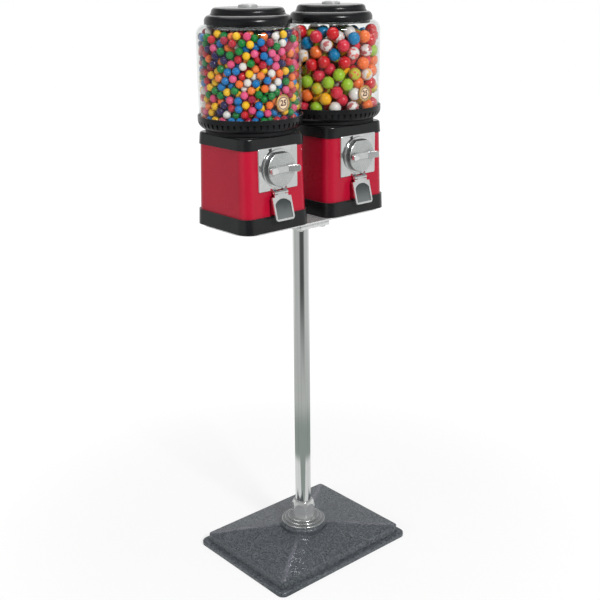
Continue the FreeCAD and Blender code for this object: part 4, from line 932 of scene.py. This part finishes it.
def arrow_mesh(side):
    """Paint-filled turning arrow on the plate, upper left of the dial."""
    along = (ARROW_TIP - ARROW_TAIL).normalized()
    across = Vector((along.y, -along.x))
    neck = ARROW_TIP - along * ARROW_HEAD_LENGTH
    outline = [ARROW_TAIL - across * ARROW_WIDTH / 2, neck - across * ARROW_WIDTH / 2,
               neck - across * ARROW_HEAD_WIDTH / 2, ARROW_TIP, neck + across * ARROW_HEAD_WIDTH / 2,
               neck + across * ARROW_WIDTH / 2, ARROW_TAIL + across * ARROW_WIDTH / 2]
    face = plate_face(side)
    bm = bmesh.new()
    sunk = face.y + MARK_DEPTH / 3
    flat = bm.faces.new([bm.verts.new((face.x + point.x, sunk, face.z + point.y)) for point in outline])
    grown = bmesh.ops.extrude_face_region(bm, geom=[flat])
    raised = [v for v in grown["geom"] if isinstance(v, bmesh.types.BMVert)]
    bmesh.ops.translate(bm, verts=raised, vec=(0, -MARK_DEPTH, 0))
    return closed_mesh(bm, "arrow")


# Stage

CAMERA_PLACE = (-1.2125, -1.3926, 1.1456)
CAMERA_YAW = 0.715
CAMERA_PITCH = 0.32
CAMERA_ROLL = -0.01
CAMERA_LENS = 59.74
CAMERA_SENSOR = 36.0

# Each softbox has its place, its aim and its size
KEY_SOFTBOX = ((-0.42, -2.55, 2.15), (0, 0, 0.85), (0.75, 0.36))
SIDE_SOFTBOX = ((-2.6, -0.1, 1.2), (0, 0, 0.9), (1.4, 1.4))
TOP_SOFTBOX = ((0.2, 0.3, 2.7), (0, 0, 0.8), (2.2, 1.6))

# Tones and directions of the room that chrome mirrors, as turns from the camera's side of the machine
WALL_TONE = (0.49, 0.505, 0.495)
RIGHT_TONE = (0.60, 0.61, 0.605)
RIGHT_TURN = math.radians(84)
BACK_TONE = (0.92, 0.92, 0.92)
DARK_TONE = (0.08, 0.086, 0.081)
DARK_TURN = math.radians(12)
DARK_WIDTH = math.radians(43)
CEILING_TONE = (0.20, 0.20, 0.21)
CEILING_RISE = (0.14, 0.58)   # heights of a mirrored way between which the walls end
FLOOR_TONE = (0.29, 0.33, 0.31)
FLOOR_NEAR_TONE = (0.74, 0.75, 0.75)

# Distances from the pole between which the floor changes, as a mirror or the camera sees it
FLOOR_NEAR = (0.36, 0.42)
FLOOR_NEAR_AHEAD = 0.22       # how much shorter the near floor is towards the camera
FLOOR_FAR = (0.55, 0.75)
FLOOR_ROOM = (0.7, 1.9)
FLOOR_GLOW = (0.35, 1.1)
FLOOR_DROP = 0.0002           # under the machine's foot


def camera_turn():
    """Turn of the camera that looks along the yaw and down the pitch."""
    ahead = Vector((math.sin(CAMERA_YAW) * math.cos(CAMERA_PITCH),
                    math.cos(CAMERA_YAW) * math.cos(CAMERA_PITCH), -math.sin(CAMERA_PITCH)))
    right = Vector((math.cos(CAMERA_YAW), -math.sin(CAMERA_YAW), 0))
    up = right.cross(ahead)
    roll_right = right * math.cos(CAMERA_ROLL) + up * math.sin(CAMERA_ROLL)
    roll_up = up * math.cos(CAMERA_ROLL) - right * math.sin(CAMERA_ROLL)
    return Matrix((roll_right, roll_up, -ahead)).transposed().to_4x4()


def light_path(s):
    """Two values: 1 for rays that show the room, also through clear plastic, and 1 for mirrored ones."""
    path = s.tree.nodes.new("ShaderNodeLightPath")
    straight = Link(s, path.outputs["Is Camera Ray"])
    shown = straight.most(Link(s, path.outputs["Is Transmission Ray"]))
    return shown, Link(s, path.outputs["Is Glossy Ray"])


def facing(s, way, turn):
    """1 along the level way to the camera, turned by an angle, and less to its sides."""
    towards = Vector((-math.sin(CAMERA_YAW + turn), -math.cos(CAMERA_YAW + turn), 0.0))
    return s.vector("DOT_PRODUCT", way, towards, out="Value")


def room_tone(s, way):
    """What a mirror sees along a level way: pale walls, bright behind the machine, dark behind the camera."""
    pale = s.mix(facing(s, way, -RIGHT_TURN).step(0.2, 0.85), WALL_TONE, RIGHT_TONE)
    pale = s.mix(facing(s, way, math.pi).step(0.1, 0.8), pale, BACK_TONE)
    dark = facing(s, way, -DARK_TURN).step(math.cos(DARK_WIDTH), math.cos(DARK_WIDTH * 0.3))
    return s.mix(dark, pale, DARK_TONE)


def studio_world(fill):
    """White surroundings, with a pale room, its dark side and a dim ceiling for what mirrors it."""
    s = Shader(bpy.data.worlds.new("studio"))
    way = s.node("ShaderNodeTexCoord", None, None, "Generated")
    height = s.node("ShaderNodeSeparateXYZ", None, {0: way}, "Z")
    level = s.vector("NORMALIZE", s.vector("MULTIPLY", way, (1, 1, 0)))
    tone = s.mix(height.step(*CEILING_RISE), room_tone(s, level), CEILING_TONE)
    shown, mirrored = light_path(s)
    even = s.mix(mirrored, (fill, fill, fill), tone)
    colour = s.mix(shown, even, (1.0, 1.0, 1.0))
    backdrop = s.node("ShaderNodeBackground", None, {"Color": colour, "Strength": 1.0})
    return s.finish(backdrop, "ShaderNodeOutputWorld")


def floor_paint():
    """White paper floor that keeps the machine's shadow, blends into the white room and mirrors like one."""
    s = new_material("paper_floor")
    place = s.coords()
    reach = s.vector("LENGTH", place, out="Value")
    way = s.vector("NORMALIZE", place)
    grain = s.mix(s.noise(240.0, 3.0), (0.79, 0.79, 0.79), (0.82, 0.82, 0.82))
    paper = s.node("ShaderNodeBsdfDiffuse", None, {"Color": grain})
    glow = s.node("ShaderNodeEmission", None, {"Color": (1, 1, 1, 1), "Strength": 1.06})
    ahead = facing(s, way, 0.0).step(0.75, 0.97)
    near = (reach + ahead * FLOOR_NEAR_AHEAD).step(*FLOOR_NEAR)
    tone = s.mix(near, FLOOR_NEAR_TONE, FLOOR_TONE)
    tone = s.mix(reach.step(*FLOOR_FAR), tone, WALL_TONE)
    tone = s.mix(reach.step(*FLOOR_ROOM), tone, room_tone(s, way))
    mirror = s.node("ShaderNodeEmission", None, {"Color": tone, "Strength": 1.0})
    shown, mirrored = light_path(s)
    lit = s.blend(shown * (reach.step(*FLOOR_GLOW) * 0.35 + 0.65), paper, glow)
    return s.finish(s.blend(mirrored, lit, mirror))


def area_light(name, place, aim, size, power):
    """Softbox that the camera doesn't see."""
    data = bpy.data.lights.new(name, "AREA")
    data.shape = "RECTANGLE"
    data.size, data.size_y = size
    data.energy = power
    lamp = add_object(name, data)
    lamp.location = place
    lamp.rotation_euler = (Vector(aim) - Vector(place)).to_track_quat("-Z", "Y").to_euler()
    lamp.visible_camera = False
    return lamp


# Operators

class MACHINE_OT_finishes(bpy.types.Operator):
    """Gives every CAD node its paint, plating or plastic"""
    bl_idname = "machine.finishes"
    bl_label = "Finishes"

    def execute(self, context):
        table = finish_table(context.scene.machine_finish)
        for name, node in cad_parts.items():
            kind = name.removeprefix("left_").removeprefix("right_")
            if kind == "gumballs":
                continue
            node.data.materials.clear()
            node.data.materials.append(table[kind])
        return {"FINISHED"}


class MACHINE_OT_candy(bpy.types.Operator):
    """Fills both globes with a heap of gumballs"""
    bl_idname = "machine.candy"
    bl_label = "Gumballs"

    def execute(self, context):
        settings = context.scene.machine_candy
        tree = candy_tree()
        for number, side in enumerate(SIDES):
            diameter = getattr(settings, side + "_diameter")
            seed = settings.seed + number
            centres = pour_balls(side, diameter, settings.headroom, seed)
            seeds = bpy.data.meshes.new(side + "_centres")
            seeds.from_pydata([tuple(c) for c in centres], [], [])
            inputs = {"Ball diameter": diameter * BALL_SHRINK, "Seed": seed, "Shell": candy_shell(side)}
            mesh = grown_mesh(seeds, tree, inputs, side + "_candy")
            piece = add_piece(side + "_candy_heap", mesh, STAND)
            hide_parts(side + "_gumballs")
        return {"FINISHED"}


class MACHINE_OT_labels(bpy.types.Operator):
    """Sticks a round price label on the front of each globe"""
    bl_idname = "machine.labels"
    bl_label = "Labels"

    def execute(self, context):
        settings = context.scene.machine_label
        finishes = [label_paper(settings), label_gilt(settings), ink("label_ink", LABEL_INK)]
        for side in SIDES:
            label = label_mesh(settings.diameter / 2, settings.rim)
            wrap(label, side, settings.height, LABEL_STAND_OFF)
            for finish in finishes:
                label.materials.append(finish)
            add_piece(side + "_price_label", label, STAND)
            number = number_mesh(settings.price, settings.diameter * NUMBER_SIZE, NUMBER_DEPTH)
            wrap(number, side, settings.height, NUMBER_STAND_OFF)
            number.materials.clear()
            number.materials.append(finishes[INK])
            add_piece(side + "_price_number", number, STAND)
        return {"FINISHED"}


class MACHINE_OT_dial_marks(bpy.types.Operator):
    """Marks the way to turn on each coin plate"""
    bl_idname = "machine.dial_marks"
    bl_label = "Dial marks"

    def execute(self, context):
        paint = ink("arrow_paint", ARROW_PAINT)
        for side in SIDES:
            mesh = arrow_mesh(side)
            mesh.materials.append(paint)
            add_piece(side + "_turn_arrow", mesh, STAND)
        return {"FINISHED"}


class MACHINE_OT_stage(bpy.types.Operator):
    """Sets up the floor, the light and the camera"""
    bl_idname = "machine.stage"
    bl_label = "Stage"

    def execute(self, context):
        settings = context.scene.machine_stage
        half = settings.floor_size / 2
        corners = [(-half, -half, 0), (half, -half, 0), (half, half, 0), (-half, half, 0)]
        sheet = bpy.data.meshes.new("floor")
        sheet.from_pydata(corners, [], [(0, 1, 2, 3)])
        sheet.materials.append(floor_paint())
        floor = add_object("floor", sheet)
        floor.location.z = CAD_BOX[0][2] - FLOOR_DROP
        context.scene.world = studio_world(settings.fill)
        area_light("key_softbox", *KEY_SOFTBOX, settings.key_power)
        side = area_light("side_softbox", *SIDE_SOFTBOX, settings.side_power)
        side.visible_glossy = False
        area_light("top_softbox", *TOP_SOFTBOX, settings.top_power)
        lens = bpy.data.cameras.new("camera")
        lens.lens = CAMERA_LENS
        lens.sensor_width = CAMERA_SENSOR
        camera = add_object("camera", lens)
        camera.matrix_world = Matrix.Translation(CAMERA_PLACE) @ camera_turn()
        context.scene.camera = camera
        context.scene.view_settings.view_transform = "Standard"
        return {"FINISHED"}


class MACHINE_PT_panel(bpy.types.Panel):
    """Lists the machine's steps"""
    bl_label = "Gumball Machine"
    bl_idname = "MACHINE_PT_panel"
    bl_space_type = "VIEW_3D"
    bl_region_type = "UI"
    bl_category = "Gumball Machine"

    def draw(self, context):
        for operator in OPERATORS:
            self.layout.operator(operator.bl_idname)
        for group in SETTINGS:
            box = self.layout.box()
            for name in SETTINGS[group].__annotations__:
                box.prop(getattr(context.scene, group), name)


OPERATORS = (MACHINE_OT_finishes, MACHINE_OT_candy, MACHINE_OT_labels, MACHINE_OT_dial_marks,
             MACHINE_OT_stage)
SETTINGS = {"machine_candy": CandySettings, "machine_finish": FinishSettings,
            "machine_label": LabelSettings, "machine_stage": StageSettings}


def register():
    for group, kind in SETTINGS.items():
        bpy.utils.register_class(kind)
        setattr(bpy.types.Scene, group, PointerProperty(type=kind))
    for kind in (*OPERATORS, MACHINE_PT_panel):
        bpy.utils.register_class(kind)


def unregister():
    for kind in (MACHINE_PT_panel, *reversed(OPERATORS)):
        bpy.utils.unregister_class(kind)
    for group, kind in SETTINGS.items():
        delattr(bpy.types.Scene, group)
        bpy.utils.unregister_class(kind)


def main():
    register()
    bpy.ops.machine.finishes()
    bpy.ops.machine.candy()
    bpy.ops.machine.labels()
    bpy.ops.machine.dial_marks()
    bpy.ops.machine.stage()


if __name__ == "__main__":
    main()
